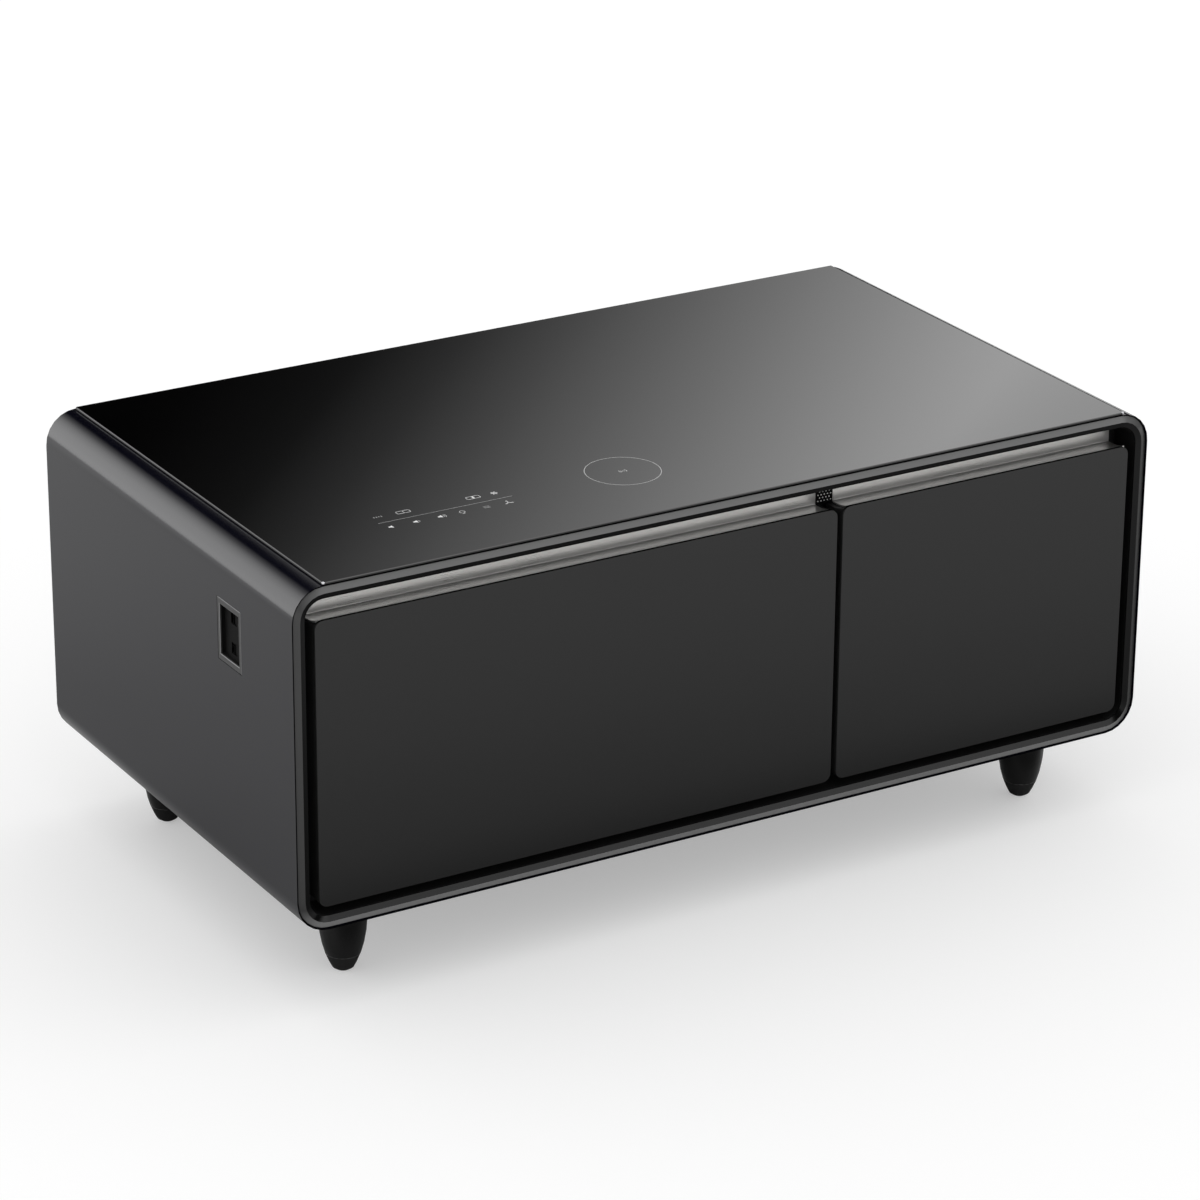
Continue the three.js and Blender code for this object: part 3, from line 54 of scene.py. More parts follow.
# Planes of the cabinet, read from the frame
GLASS_LOW, GLASS_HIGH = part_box("glass_top")
GLASS_Z = GLASS_HIGH[2]
BEZEL_LOW, BEZEL_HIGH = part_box("front_bezel")
POCKET_LOW, POCKET_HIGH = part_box("usb_pocket")
SOCKETS_LOW, SOCKETS_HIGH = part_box("usb_sockets")
GRILLE_LOW, GRILLE_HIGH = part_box("speaker_grille")
BACK_LOW, BACK_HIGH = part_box("back_panel")


# Camera

VIEW_AZIMUTH = math.radians(-30.884)
VIEW_ELEVATION = math.radians(22.57)
VIEW_ROLL = math.radians(0.416)
VIEW_DISTANCE = 5.3292
VIEW_TARGET = Vector((-0.02775, -0.05115, 0.28719))
FOCAL_PIXELS = 4659.2
SENSOR_WIDTH = 36.0


def make_camera():
    camera = bpy.data.cameras.new("camera")
    camera.sensor_width = SENSOR_WIDTH
    camera.lens = FOCAL_PIXELS / IMAGE_SIDE * SENSOR_WIDTH
    holder = bpy.data.objects.new("camera", camera)
    bpy.context.collection.objects.link(holder)
    level = math.cos(VIEW_ELEVATION)
    back = Vector((
        math.sin(VIEW_AZIMUTH) * level,
        -math.cos(VIEW_AZIMUTH) * level,
        math.sin(VIEW_ELEVATION),
    ))
    holder.location = VIEW_TARGET + back * VIEW_DISTANCE
    holder.rotation_mode = "QUATERNION"
    holder.rotation_quaternion = back.to_track_quat("Z", "Y") @ Quaternion((0, 0, 1), VIEW_ROLL)
    bpy.context.scene.camera = holder


# Materials: a socket with arithmetic, and a surface that makes nodes

class Socket:
    """An output in a node tree that takes part in Python arithmetic."""

    def __init__(self, surface, output):
        self.surface = surface
        self.output = output

    def maths(self, operation, *values):
        return self.surface.node("ShaderNodeMath", {"operation": operation}, dict(enumerate(values)))

    def __add__(self, other):
        return self.maths("ADD", self, other)

    def __radd__(self, other):
        return self.maths("ADD", other, self)

    def __sub__(self, other):
        return self.maths("SUBTRACT", self, other)

    def __rsub__(self, other):
        return self.maths("SUBTRACT", other, self)

    def __mul__(self, other):
        return self.maths("MULTIPLY", self, other)

    def __rmul__(self, other):
        return self.maths("MULTIPLY", other, self)

    def __truediv__(self, other):
        return self.maths("DIVIDE", self, other)


class NodeTree:
    """Makes nodes: settings are set first, then values and links go to the sockets."""

    def __init__(self, tree):
        self.tree = tree

    def node(self, kind, settings=None, inputs=None, output=0):
        made = self.tree.nodes.new(kind)
        for name, value in (settings or {}).items():
            if name == "stops":
                self.fill_ramp(made.color_ramp, value)
            else:
                setattr(made, name, value)
        for name, value in (inputs or {}).items():
            self.feed(made.inputs[name], value)
        return Socket(self, made.outputs[output])

    def feed(self, socket, value):
        if isinstance(value, Socket):
            self.tree.links.new(value.output, socket)
        else:
            socket.default_value = value

    def more(self, first, *names):
        """Further outputs of the node that the first one comes from."""
        outputs = first.output.node.outputs
        return [Socket(self, outputs[name]) for name in names]

    def fill_ramp(self, ramp, stops):
        while len(ramp.elements) < len(stops):
            ramp.elements.new(1)
        for element, (position, value) in zip(ramp.elements, stops):
            element.position = position
            element.color = (value, value, value, 1)

    def point(self, stretch=(1, 1, 1)):
        """Object coordinates in metres, stretched before a pattern reads them."""
        place = self.node("ShaderNodeTexCoord", output="Object")
        return self.node("ShaderNodeMapping", {}, {"Vector": place, "Scale": stretch})

    def noise(self, per_metre, detail, stretch=(1, 1, 1)):
        inputs = {"Vector": self.point(stretch), "Scale": per_metre, "Detail": detail}
        return self.node("ShaderNodeTexNoise", {}, inputs)

    def split(self, vector):
        """X, Y and Z of a vector."""
        first = self.node("ShaderNodeSeparateXYZ", {}, {"Vector": vector}, output="X")
        return [first] + self.more(first, "Y", "Z")

    def vector_maths(self, operation, first, second, output="Vector"):
        return self.node("ShaderNodeVectorMath", {"operation": operation}, {0: first, 1: second}, output)

    def ramp(self, value, stops):
        return self.node("ShaderNodeValToRGB", {"stops": stops}, {"Fac": value})

    def between(self, share, first, second):
        """Colour that goes from the first to the second as share goes from 0 to 1."""
        inputs = {0: share, 6: first, 7: second}
        return self.node("ShaderNodeMix", {"data_type": "RGBA"}, inputs, output=2)


class Surface(NodeTree):
    """A material round one Principled shader."""

    def __init__(self, name, **fixed):
        self.name = name
        self.material = bpy.data.materials.new(name)
        self.material.use_nodes = True
        super().__init__(self.material.node_tree)
        self.shader = self.tree.nodes["Principled BSDF"]
        for key, value in fixed.items():
            self.feed(self.shader.inputs[key.replace("_", " ")], value)

    def paint(self, share, first, second):
        """Base colour from the first to the second as share goes from 0 to 1."""
        self.feed(self.shader.inputs["Base Color"], self.between(share, first, second))

    def shade(self, share, level, spread, tint=(1, 1, 1)):
        """Base colour round a level, darker and lighter by a spread."""
        self.paint(share, rgb(level * (1 - spread), tint), rgb(level * (1 + spread), tint))

    def rough(self, middle, *patterns):
        """Roughness round a middle value, which each pattern moves by its own amount."""
        total = middle - sum(amount for pattern, amount in patterns) / 2
        for pattern, amount in patterns:
            total = pattern * amount + total
        self.feed(self.shader.inputs["Roughness"], total)

    def bump(self, height, depth):
        """Relief of the given depth where height goes from 0 to 1."""
        relief = self.node("ShaderNodeBump", {}, {"Height": height, "Distance": depth})
        self.feed(self.shader.inputs["Normal"], relief)

    def facing(self):
        """The way a face looks, and the X, Y and Z of it."""
        normal = self.node("ShaderNodeNewGeometry", output="Normal")
        return [normal] + self.split(normal)

    def blacken(self, share):
        """Blends to dead black without gloss as share goes from 0 to 1, for painted shade."""
        dull = {"Color": rgb(SHADE_BLACK), "Roughness": 0.5}
        black = self.node("ShaderNodeBsdfDiffuse", {}, dull)
        glossy = Socket(self, self.shader.outputs[0])
        blend = self.node("ShaderNodeMixShader", {}, {0: share, 1: glossy, 2: black})
        self.feed(self.tree.nodes["Material Output"].inputs["Surface"], blend)


def rgb(level, tint=(1, 1, 1)):
    return (level * tint[0], level * tint[1], level * tint[2], 1)


COOL = (1.0, 1.0, 1.04)
MIDNIGHT = (0.6, 0.6, 1.8)
NEUTRAL = (1, 1, 1)
# Dead black for painted shade
SHADE_BLACK = 0.002

# Sprayed lacquer: clouds, orange peel and grain in features per metre, their shares and depth
CLOUDS = 7
ORANGE_PEEL = 420
GRAIN = 2600
CLOUD_SHARE = 0.7
PEEL_SHARE = 0.75
CLOUD_ROUGHNESS = 0.06
GRAIN_ROUGHNESS = 0.05
GRAIN_DEPTH = 0.005 * MM

# Ramps on the way a face looks
# Painted shade: the casing's cut edge, facing along Y, goes dead black
CUT_EDGE_SHADE = [(0.8, 0.0), (0.9, 1.0)]
FRONT_WRAP = [(0.06, 0.0), (0.35, 1.0)]
# Painted shade: upward faces of the drawer fronts go dead black
TOP_FLANGE_SHADE = [(0.6, 0.0), (0.8, 1.0)]
# Painted light: how far a face turns up or down, for the bezel's facet greys
LIT_SLOPE = [(0.1, 0.0), (0.35, 1.0)]
OUTWARD = [(0.505, 0.0), (0.515, 1.0)]
# Painted highlight: the rounded edges of the pocket's ring
EDGE_HIGHLIGHT = [(0.02, 0.0), (0.1, 1.0), (0.8, 1.0), (0.97, 0.0)]


def lacquer_patterns(surface):
    """Soft clouds, dust-fine grain, and the two together."""
    cloud = surface.noise(CLOUDS, detail=3)
    grain = surface.noise(GRAIN, detail=1)
    return cloud, grain, cloud * CLOUD_SHARE + grain * (1 - CLOUD_SHARE)


def spray_lacquer(name, level, tint, roughness, peel_depth):
    """Sprayed lacquer with a faint orange peel."""
    surface = Surface(name)
    cloud, grain, share = lacquer_patterns(surface)
    surface.shade(share, level, 0.1, tint)
    surface.rough(roughness, (cloud, CLOUD_ROUGHNESS), (grain, GRAIN_ROUGHNESS))
    peel = surface.noise(ORANGE_PEEL, detail=2)
    surface.bump(peel * PEEL_SHARE + grain * (1 - PEEL_SHARE), peel_depth)
    return surface


def side_lacquer(name, level, roughness):
    """Midnight lacquer of the wrapped casing, with its cut edge round the open ends blended to dead black:
    painted shade for the seam line.
    """
    surface = spray_lacquer(name, level, MIDNIGHT, roughness, 0.01 * MM)
    depth = surface.facing()[2]
    # Painted shade: the cut edge facing along Y is blended to dead black
    surface.blacken(surface.ramp(depth.maths("ABSOLUTE", depth), CUT_EDGE_SHADE))
    return surface


EDGE_MATT = 0.6


def front_lacquer(name, level, roughness):
    """Satin lacquer on the drawer fronts, matt where it wraps round, with the top flange blended to dead black
    as painted shade.
    """
    surface = Surface(name)
    cloud, grain, share = lacquer_patterns(surface)
    normal, sideways, depth, rise = surface.facing()
    edge = surface.ramp(depth + 1, FRONT_WRAP)
    surface.shade(share, level, 0.15)
    surface.rough(roughness + EDGE_MATT / 2, (edge, EDGE_MATT), (grain, GRAIN_ROUGHNESS))
    surface.bump(grain, GRAIN_DEPTH)
    # Painted shade: the top flange goes dead black
    surface.blacken(surface.ramp(rise, TOP_FLANGE_SHADE))
    return surface


# Greys of the bezel's outer facet by the way it faces, which are painted light, and the inner facet's share of
# painted dead-black shade
SIDE_FACET_SHADED = 0.037
TOP_FACET_LIT = 0.125
BOTTOM_FACET_LIT = 0.21
INNER_FACET = 0.004
INNER_PAINTED_SHADE = 0.6
OUTER_MATT = 0.04
OUTER_MOTTLE = 0.14


def bezel_lacquer(name, roughness):
    """Ring round the openings: satin grey on the outer facet, with painted light that makes it lighter where it
    faces up or down and darker on the sides; black on the inner one, partly blended to dead black as painted
    shade.
    """
    surface = Surface(name)
    cloud, grain, share = lacquer_patterns(surface)
    normal, sideways, depth, rise = surface.facing()
    place = surface.node("ShaderNodeTexCoord", output="Object")
    middle = (0, 0, (BEZEL_LOW[2] + BEZEL_HIGH[2]) / 2)
    spread = surface.vector_maths("SUBTRACT", place, middle)
    flat = surface.vector_maths("MULTIPLY", spread, (1, 0, 1))
    away = surface.vector_maths("DOT_PRODUCT", normal, flat, "Value")
    outer = surface.ramp(away + 0.5, OUTWARD)
    # Painted light: the outer facet is lighter facing up and down, darker facing sideways
    grey = surface.between(surface.ramp(rise, LIT_SLOPE), rgb(SIDE_FACET_SHADED), rgb(TOP_FACET_LIT))
    grey = surface.between(surface.ramp(0 - rise, LIT_SLOPE), grey, rgb(BOTTOM_FACET_LIT))
    mottle = share * OUTER_MOTTLE + (1 - OUTER_MOTTLE)
    surface.paint(outer * mottle, rgb(INNER_FACET), grey)
    surface.rough(roughness + OUTER_MATT / 2, (outer, OUTER_MATT), (grain, GRAIN_ROUGHNESS))
    surface.bump(grain, GRAIN_DEPTH)
    # Painted shade: the inner facet's gloss partly blended to dead black
    surface.blacken((1 - outer) * INNER_PAINTED_SHADE)
    return surface


def frame_plastic(name, roughness):
    """Satin plastic of the pocket's ring, with its rounded edges painted lighter as a painted highlight."""
    surface = Surface(name)
    grain = surface.noise(2200, detail=2)
    wear = surface.noise(60, detail=3)
    edge = surface.ramp(surface.facing()[1] + 1, EDGE_HIGHLIGHT)
    flat = surface.between(wear, rgb(0.03), rgb(0.04))
    # Painted highlight: rounded edges lighter than the flat face
    surface.paint(edge, flat, surface.between(wear, rgb(0.20), rgb(0.30)))
    surface.rough(roughness, (grain, 0.12), (wear, 0.08))
    surface.bump(grain, 0.01 * MM)
    return surface


def moulded_plastic(name, level, tint, roughness, per_metre=1500, depth=0.05 * MM, **fixed):
    """Injection-moulded plastic with a fine spark-eroded texture."""
    surface = Surface(name, **fixed)
    texture = surface.noise(per_metre, detail=2)
    wear = surface.noise(18, detail=4)
    surface.shade(wear, level, 0.15, tint)
    surface.rough(roughness, (texture, 0.12), (wear, 0.08))
    surface.bump(texture, depth)
    return surface


def brushed_silver(name, roughness):
    """Satin silver, brushed along X."""
    surface = Surface(name, Metallic=0.8)
    brushing = surface.noise(900, detail=3, stretch=(0.02, 1, 1))
    cloud = surface.noise(9, detail=2)
    surface.paint(brushing * 0.65 + cloud * 0.35, (0.43, 0.425, 0.415, 1), (0.60, 0.595, 0.585, 1))
    surface.rough(roughness, (brushing, 0.1), (cloud, 0.04))
    surface.bump(brushing, 0.02 * MM)
    return surface


def plated_metal(name, low, high, roughness, brushed=(1, 1, 1)):
    """Plated or drawn metal with faint streaks and stains."""
    surface = Surface(name, Metallic=0.75)
    streak = surface.noise(700, detail=2, stretch=brushed)
    stain = surface.noise(25, detail=4)
    surface.paint(stain, (*low, 1), (*high, 1))
    surface.rough(roughness, (streak, 0.14), (stain, 0.12))
    surface.bump(streak, 0.02 * MM)
    return surface


def black_glass(name, roughness):
    """Back-painted glass: mirror-smooth, with a trace of dust and fingerprints."""
    surface = Surface(name, IOR=1.5)
    haze = surface.noise(5, detail=4)
    dust = surface.noise(900, detail=1)
    surface.paint(haze, rgb(0.0008, COOL), rgb(0.0016, COOL))
    surface.rough(roughness, (haze, 0.02), (dust, 0.01))
    return surface


def printed_ink(name, level, roughness):
    """Screen-printed ink with a slightly uneven edge of pigment."""
    surface = Surface(name)
    pigment = surface.noise(1800, detail=2)
    surface.paint(pigment, rgb(level * 0.88), rgb(level))
    surface.rough(roughness, (pigment, 0.2))
    surface.bump(pigment, 0.01 * MM)
    return surface


def rubber(name, level, roughness):
    """Matte rubber with a dusty bloom."""
    surface = Surface(name)
    bloom = surface.noise(40, detail=5)
    pores = surface.noise(1800, detail=2)
    surface.paint(bloom, rgb(level * 0.8), rgb(level * 1.3))
    surface.rough(roughness, (pores, 0.15))
    surface.bump(pores, 0.06 * MM)
    return surface


def rigid_foam(name, roughness):
    """Cream insulation foam with open cut cells."""
    surface = Surface(name)
    cells = surface.node("ShaderNodeTexVoronoi", {}, {"Vector": surface.point(), "Scale": 700.0})
    surface.paint(surface.noise(12, detail=3), (0.62, 0.55, 0.33, 1), (0.74, 0.68, 0.46, 1))
    surface.rough(roughness, (cells, 0.1))
    surface.bump(cells, 0.3 * MM)
    return surface


def circuit_board(name, roughness):
    """Green board with darker tracks."""
    surface = Surface(name)
    streaks = surface.noise(160, detail=1, stretch=(1, 0.2, 1))
    tracks = surface.ramp(streaks, [(0.46, 0.0), (0.5, 1.0)])
    surface.paint(tracks, (0.01, 0.06, 0.03, 1), (0.015, 0.10, 0.045, 1))
    surface.rough(roughness, (tracks, 0.15))
    surface.bump(tracks, 0.04 * MM)
    return surface


# Moulded plastics: level, tint, roughness, and for some their texture per metre and its depth
PLASTICS = {
    "black_plastic": (0.004, NEUTRAL, 0.5),
    "grey_plastic": (0.012, NEUTRAL, 0.45),
    "back_grey": (0.020, NEUTRAL, 0.5),
    "liner_white": (0.72, NEUTRAL, 0.4),
    "bin_grey": (0.46, COOL, 0.35),
    # Near-white rims round the speaker holes: a painted glint
    "rim_silver": (0.85, NEUTRAL, 0.35),
    # Ground glass edge, near-white as a painted glint at the corners
    "ground_edge": (0.75, COOL, 0.3, 900, 0.01 * MM),
}

# Metals: darkest and lightest colour, roughness, and for drawn rails the stretch of their streaks
METALS = {
    "rail_zinc": ((0.42, 0.43, 0.44), (0.58, 0.59, 0.60), 0.38, (1, 0.03, 1)),
    "evaporator_aluminium": ((0.55, 0.56, 0.57), (0.70, 0.70, 0.71), 0.45),
    "pipe_copper": ((0.55, 0.24, 0.13), (0.78, 0.38, 0.22), 0.35),
    "ring_grey": ((0.16, 0.16, 0.16), (0.24, 0.24, 0.24), 0.35),
    "contact_gold": ((0.70, 0.50, 0.20), (0.88, 0.66, 0.30), 0.3),
    "screw_black": ((0.05, 0.05, 0.05), (0.09, 0.09, 0.09), 0.35),
}


def make_finishes():
    surfaces = [
        side_lacquer("side_lacquer", level=0.0028, roughness=0.15),
        bezel_lacquer("trim_lacquer", roughness=0.145),
        front_lacquer("front_lacquer", level=0.003, roughness=0.17),
        spray_lacquer("pot_black", 0.008, NEUTRAL, roughness=0.35, peel_depth=0.15 * MM),
        spray_lacquer("steel_black", 0.008, NEUTRAL, roughness=0.45, peel_depth=0.1 * MM),
        brushed_silver("pull_silver", roughness=0.29),
        black_glass("black_glass", roughness=0.035),
        frame_plastic("frame_plastic", roughness=0.3),
        moulded_plastic("socket_black", 0.0012, NEUTRAL, 0.8, Specular_IOR_Level=0.2),
        moulded_plastic("leg_black", 0.0015, NEUTRAL, 0.25, 900, 0.02 * MM, Specular_IOR_Level=0.36),
        rubber("foot_rubber", level=0.006, roughness=0.795),
        rubber("gasket_grey", level=0.07, roughness=0.795),
        rigid_foam("foam", roughness=0.9),
        circuit_board("board_green", roughness=0.425),
        printed_ink("ink_bright", level=0.80, roughness=0.55),
        printed_ink("ink_grey", level=0.45, roughness=0.55),
    ]
    surfaces += [moulded_plastic(name, *values) for name, values in PLASTICS.items()]
    surfaces += [plated_metal(name, *values) for name, values in METALS.items()]
    return {surface.name: surface.material for surface in surfaces}


# Smooth shading of the CAD nodes, with edges kept sharp above an angle

SHARP_ANGLE = math.radians(35)
FLAT_FACE_WEIGHT = 90


def make_smoothing():
    """Node group that merges loose corners and shades curved faces smooth."""
    group = bpy.data.node_groups.new("smooth_curves", "GeometryNodeTree")
    group.interface.new_socket("Geometry", in_out="INPUT", socket_type="NodeSocketGeometry")
    group.interface.new_socket("Geometry", in_out="OUTPUT", socket_type="NodeSocketGeometry")
    tree = NodeTree(group)
    start = tree.node("NodeGroupInput")
    merged = tree.node("GeometryNodeMergeByDistance", {}, {"Geometry": start, "Distance": TOUCHING})
    smooth = tree.node("GeometryNodeSetShadeSmooth", {"domain": "FACE"}, {"Geometry": merged})
    angle = tree.node("GeometryNodeInputMeshEdgeAngle")
    sharp = tree.node("FunctionNodeCompare", {"operation": "GREATER_THAN"}, {0: angle, 1: SHARP_ANGLE})
    inputs = {"Geometry": smooth, "Selection": sharp, "Shade Smooth": False}
    edged = tree.node("GeometryNodeSetShadeSmooth", {"domain": "EDGE"}, inputs)
    end = group.nodes.new("NodeGroupOutput")
    tree.feed(end.inputs[0], edged)
    return group


def smooth_nodes():
    group = make_smoothing()
    for holder in frame["nodes"].values():
        curves = holder.modifiers.new("smooth_curves", "NODES")
        curves.node_group = group
        normals = holder.modifiers.new("flat_faces_first", "WEIGHTED_NORMAL")
        normals.keep_sharp = True
        normals.weight = FLAT_FACE_WEIGHT


def dress_nodes(finishes):
    """Every CAD node gets the finish of its material slot."""
    slot_of = {row["node"]: row["material_slot"] for row in frame["record"]["subparts"]}
    # The USB sockets take the dull black finish in place of their metal: painted shade in the socket openings
    slot_of["usb_sockets"] = "socket_black"
    for name, holder in frame["nodes"].items():
        finish = finishes[slot_of[name]]
        if holder.material_slots:
            for material_slot in holder.material_slots:
                material_slot.material = finish
        else:
            holder.data.materials.append(finish)


# Pieces

def piece(name, shape, finish, body):
    """Turns a bmesh into an object that rides on a body."""
    mesh = bpy.data.meshes.new(name)
    bmesh.ops.recalc_face_normals(shape, faces=shape.faces[:])
    shape.to_mesh(mesh)
    shape.free()
    holder = bpy.data.objects.new(name, mesh)
    bpy.context.collection.objects.link(holder)
    mesh.materials.append(finish)
    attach(holder, body)
    return holder


def smooth_all(holder):
    for polygon in holder.data.polygons:
        polygon.use_smooth = True


def round_edges(shape, edges, size, segments):
    bmesh.ops.bevel(shape, geom=edges, offset=size, affect="EDGES", segments=segments, profile=0.5, material=-1)


def add_box(shape, low, high):
    """Box between two corners."""
    low, high = Vector(low), Vector(high)
    place = Matrix.Translation((low + high) / 2) @ Matrix.Diagonal((*(high - low), 1))
    return bmesh.ops.create_cube(shape, size=1, matrix=place)["verts"]


def add_ring(shape, centre, axis, radius, thickness, steps, sides=6):
    """Round ring: a small circle spun about an axis."""
    centre, axis = Vector(centre), Vector(axis)
    across = axis.orthogonal().normalized()
    turn = Matrix((across, axis, across.cross(axis))).transposed().to_4x4()
    place = Matrix.Translation(centre + across * radius) @ turn
    made = bmesh.ops.create_circle(shape, segments=sides, radius=thickness / 2, matrix=place)
    edges = list({edge for vertex in made["verts"] for edge in vertex.link_edges})
    bmesh.ops.spin(shape, geom=made["verts"] + edges, cent=centre, axis=axis, angle=2 * math.pi, steps=steps,
                   use_merge=True)


SCREW_SIDES = 12
SCREW_TOP = 0.8
SCREW_RIM = 0.35
SCREW_SINK = 0.6


def add_screw(shape, seat, axis, radius, height):
    """Pan head with a round socket pressed into its top."""
    axis = Vector(axis)
    turn = axis.to_track_quat("Z", "Y").to_matrix().to_4x4()
    place = Matrix.Translation(Vector(seat) + axis * height / 2) @ turn
    made = bmesh.ops.create_cone(shape, cap_ends=True, segments=SCREW_SIDES, radius1=radius,
                                 radius2=radius * SCREW_TOP, depth=height, matrix=place)
    shape.normal_update()
    faces = {face for vertex in made["verts"] for face in vertex.link_faces}
    top = [face for face in faces if face.normal.dot(axis) > SAME_WAY]
    bmesh.ops.inset_individual(shape, faces=top, thickness=radius * SCREW_RIM, use_even_offset=True)
    sunk = bmesh.ops.extrude_discrete_faces(shape, faces=top)["faces"]
    bmesh.ops.translate(shape, verts=sunk[0].verts[:], vec=axis * height * -SCREW_SINK)


# USB pocket in the left side

POCKET_LIP = 5 * MM
POCKET_RIM = 5 * MM
POCKET_EXTRA_RIM = 2 * MM
POCKET_FRAME_DEPTH = 2.4 * MM
POCKET_EDGE = 0.8 * MM
TRAY_BACK = 2 * MM
TRAY_WALL = 1.2 * MM
SHARP_TURN = 1.0
SOCKET_HOLE = 6.7 * MM
SOCKET_RISE = 17.5 * MM


def make_pocket_frame(finishes):
    """Flush ring round the pocket with rounded edges."""
    shape = bmesh.new()
    low = Vector(POCKET_LOW) + Vector((0, POCKET_LIP, POCKET_LIP))
    high = Vector(POCKET_HIGH) - Vector((0, POCKET_LIP, POCKET_LIP))
    high.x = low.x + POCKET_FRAME_DEPTH
    add_box(shape, low, high)
    shape.normal_update()
    ends = [face for face in shape.faces if abs(face.normal.x) > SAME_WAY]
    bmesh.ops.inset_individual(shape, faces=ends, thickness=POCKET_RIM, use_even_offset=True)
    middle = (low.z + high.z) / 2
    for face in ends:
        for vertex in face.verts:
            vertex.co.z += POCKET_EXTRA_RIM if vertex.co.z < middle else -POCKET_EXTRA_RIM
    loops = [edge for face in ends for edge in face.edges]
    bmesh.ops.delete(shape, geom=ends, context="FACES_ONLY")
    bmesh.ops.bridge_loops(shape, edges=loops)
    shape.normal_update()
    rim = [
        edge for edge in shape.edges
        if edge.calc_face_angle(0) > SHARP_TURN
        and all(abs(vertex.co.x - low.x) < TOUCHING for vertex in edge.verts)
    ]
    round_edges(shape, rim, POCKET_EDGE, segments=3)
    frame_piece = piece("pocket_frame", shape, finishes["frame_plastic"], "cabinet")
    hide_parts("usb_pocket")


def make_pocket_tray(finishes):
    """Recess behind the ring: an open box with a square hole for each socket."""
    shape = bmesh.new()
    inset_y, inset_z = POCKET_LIP + POCKET_RIM, POCKET_LIP + POCKET_RIM + POCKET_EXTRA_RIM
    low = Vector(POCKET_LOW) + Vector((POCKET_FRAME_DEPTH, inset_y, inset_z))
    high = Vector(POCKET_HIGH) - Vector((TRAY_BACK, inset_y, inset_z))
    middle = (Vector(SOCKETS_LOW) + Vector(SOCKETS_HIGH)) / 2
    add_box(shape, low, high)
    cuts = [(middle.y + side * SOCKET_HOLE, "y") for side in (-1, 1)]
    for rise in (-SOCKET_RISE, SOCKET_RISE):
        cuts += [(middle.z + rise + side * SOCKET_HOLE, "z") for side in (-1, 1)]
    for value, axis in cuts:
        normal = Vector((0, axis == "y", axis == "z"))
        everything = shape.verts[:] + shape.edges[:] + shape.faces[:]
        bmesh.ops.bisect_plane(shape, geom=everything, plane_co=normal * value, plane_no=normal)
    shape.normal_update()
    gone = []
    for face in shape.faces:
        spot = face.calc_center_median()
        off_hole = max(abs(abs(spot.z - middle.z) - SOCKET_RISE), abs(spot.y - middle.y))
        if face.normal.x < -SAME_WAY or (face.normal.x > SAME_WAY and off_hole < TOUCHING):
            gone.append(face)
    bmesh.ops.delete(shape, geom=gone, context="FACES")
    tray = piece("pocket_tray", shape, finishes["socket_black"], "cabinet")
    wall = tray.modifiers.new("wall", "SOLIDIFY")
    wall.thickness = TRAY_WALL
    wall.offset = 1
    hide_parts("usb_pocket")


CONTACTS = 4
CONTACT_PITCH = 2 * MM
CONTACT_RECESS = 2.5 * MM
CONTACT_LENGTH = 7 * MM
CONTACT_HALF_WIDTH = 0.5 * MM
CONTACT_BOTTOM = -1.15 * MM
CONTACT_TOP = -0.9 * MM
CONTACT_EDGE = 0.08 * MM


def make_socket_contacts(finishes):
    """Four sprung strips on the tongue of each socket."""
    shape = bmesh.new()
    middle = (Vector(SOCKETS_LOW) + Vector(SOCKETS_HIGH)) / 2
    front = SOCKETS_LOW[0] + CONTACT_RECESS
    for rise in (-SOCKET_RISE, SOCKET_RISE):
        for step in range(CONTACTS):
            y = middle.y + (step - (CONTACTS - 1) / 2) * CONTACT_PITCH
            z = middle.z + rise
            low = (front, y - CONTACT_HALF_WIDTH, z + CONTACT_BOTTOM)
            add_box(shape, low, (front + CONTACT_LENGTH, y + CONTACT_HALF_WIDTH, z + CONTACT_TOP))
    round_edges(shape, shape.edges[:], CONTACT_EDGE, segments=1)
    piece("socket_contacts", shape, finishes["contact_gold"], "cabinet")


# Loudspeaker cover

COVER_WIDTH = 21.4 * MM
COVER_FRONT = -0.2705
COVER_LOW = 0.4506
COVER_HIGH = 0.4756
COVER_EDGE = 1.2 * MM
COVER_LIP = 0.6 * MM
COVER_RECESS = 0.4 * MM
EYELET_PITCH = 4.2 * MM
EYELET_ROWS = 5
EYELETS_IN_ROW = 5
EYELET_MIDDLE = 0.4610
EYELET_RADIUS = 0.4 * MM
EYELET_WIRE = 0.7 * MM
EYELET_STEPS = 10
EYELET_SIDES = 5


def make_speaker_cover(finishes):
    """Black box that brings the sound forward between the pulls, with a shallow front recess."""
    shape = bmesh.new()
    middle = (GRILLE_LOW[0] + GRILLE_HIGH[0]) / 2
    low = (middle - COVER_WIDTH / 2, COVER_FRONT, COVER_LOW)
    high = (middle + COVER_WIDTH / 2, GRILLE_LOW[1] - TOUCHING, COVER_HIGH)
    add_box(shape, low, high)
    shape.normal_update()
    front = [face for face in shape.faces if face.normal.y < -SAME_WAY]
    bmesh.ops.inset_individual(shape, faces=front, thickness=COVER_LIP, use_even_offset=True)
    bmesh.ops.translate(shape, verts=front[0].verts[:], vec=(0, COVER_RECESS, 0))
    shape.normal_update()
    long_edges = [
        edge for edge in shape.edges
        if abs(edge.verts[0].co.y - edge.verts[1].co.y) > COVER_EDGE
    ]
    round_edges(shape, long_edges, COVER_EDGE, segments=3)
    piece("speaker_cover", shape, finishes["socket_black"], "cabinet")


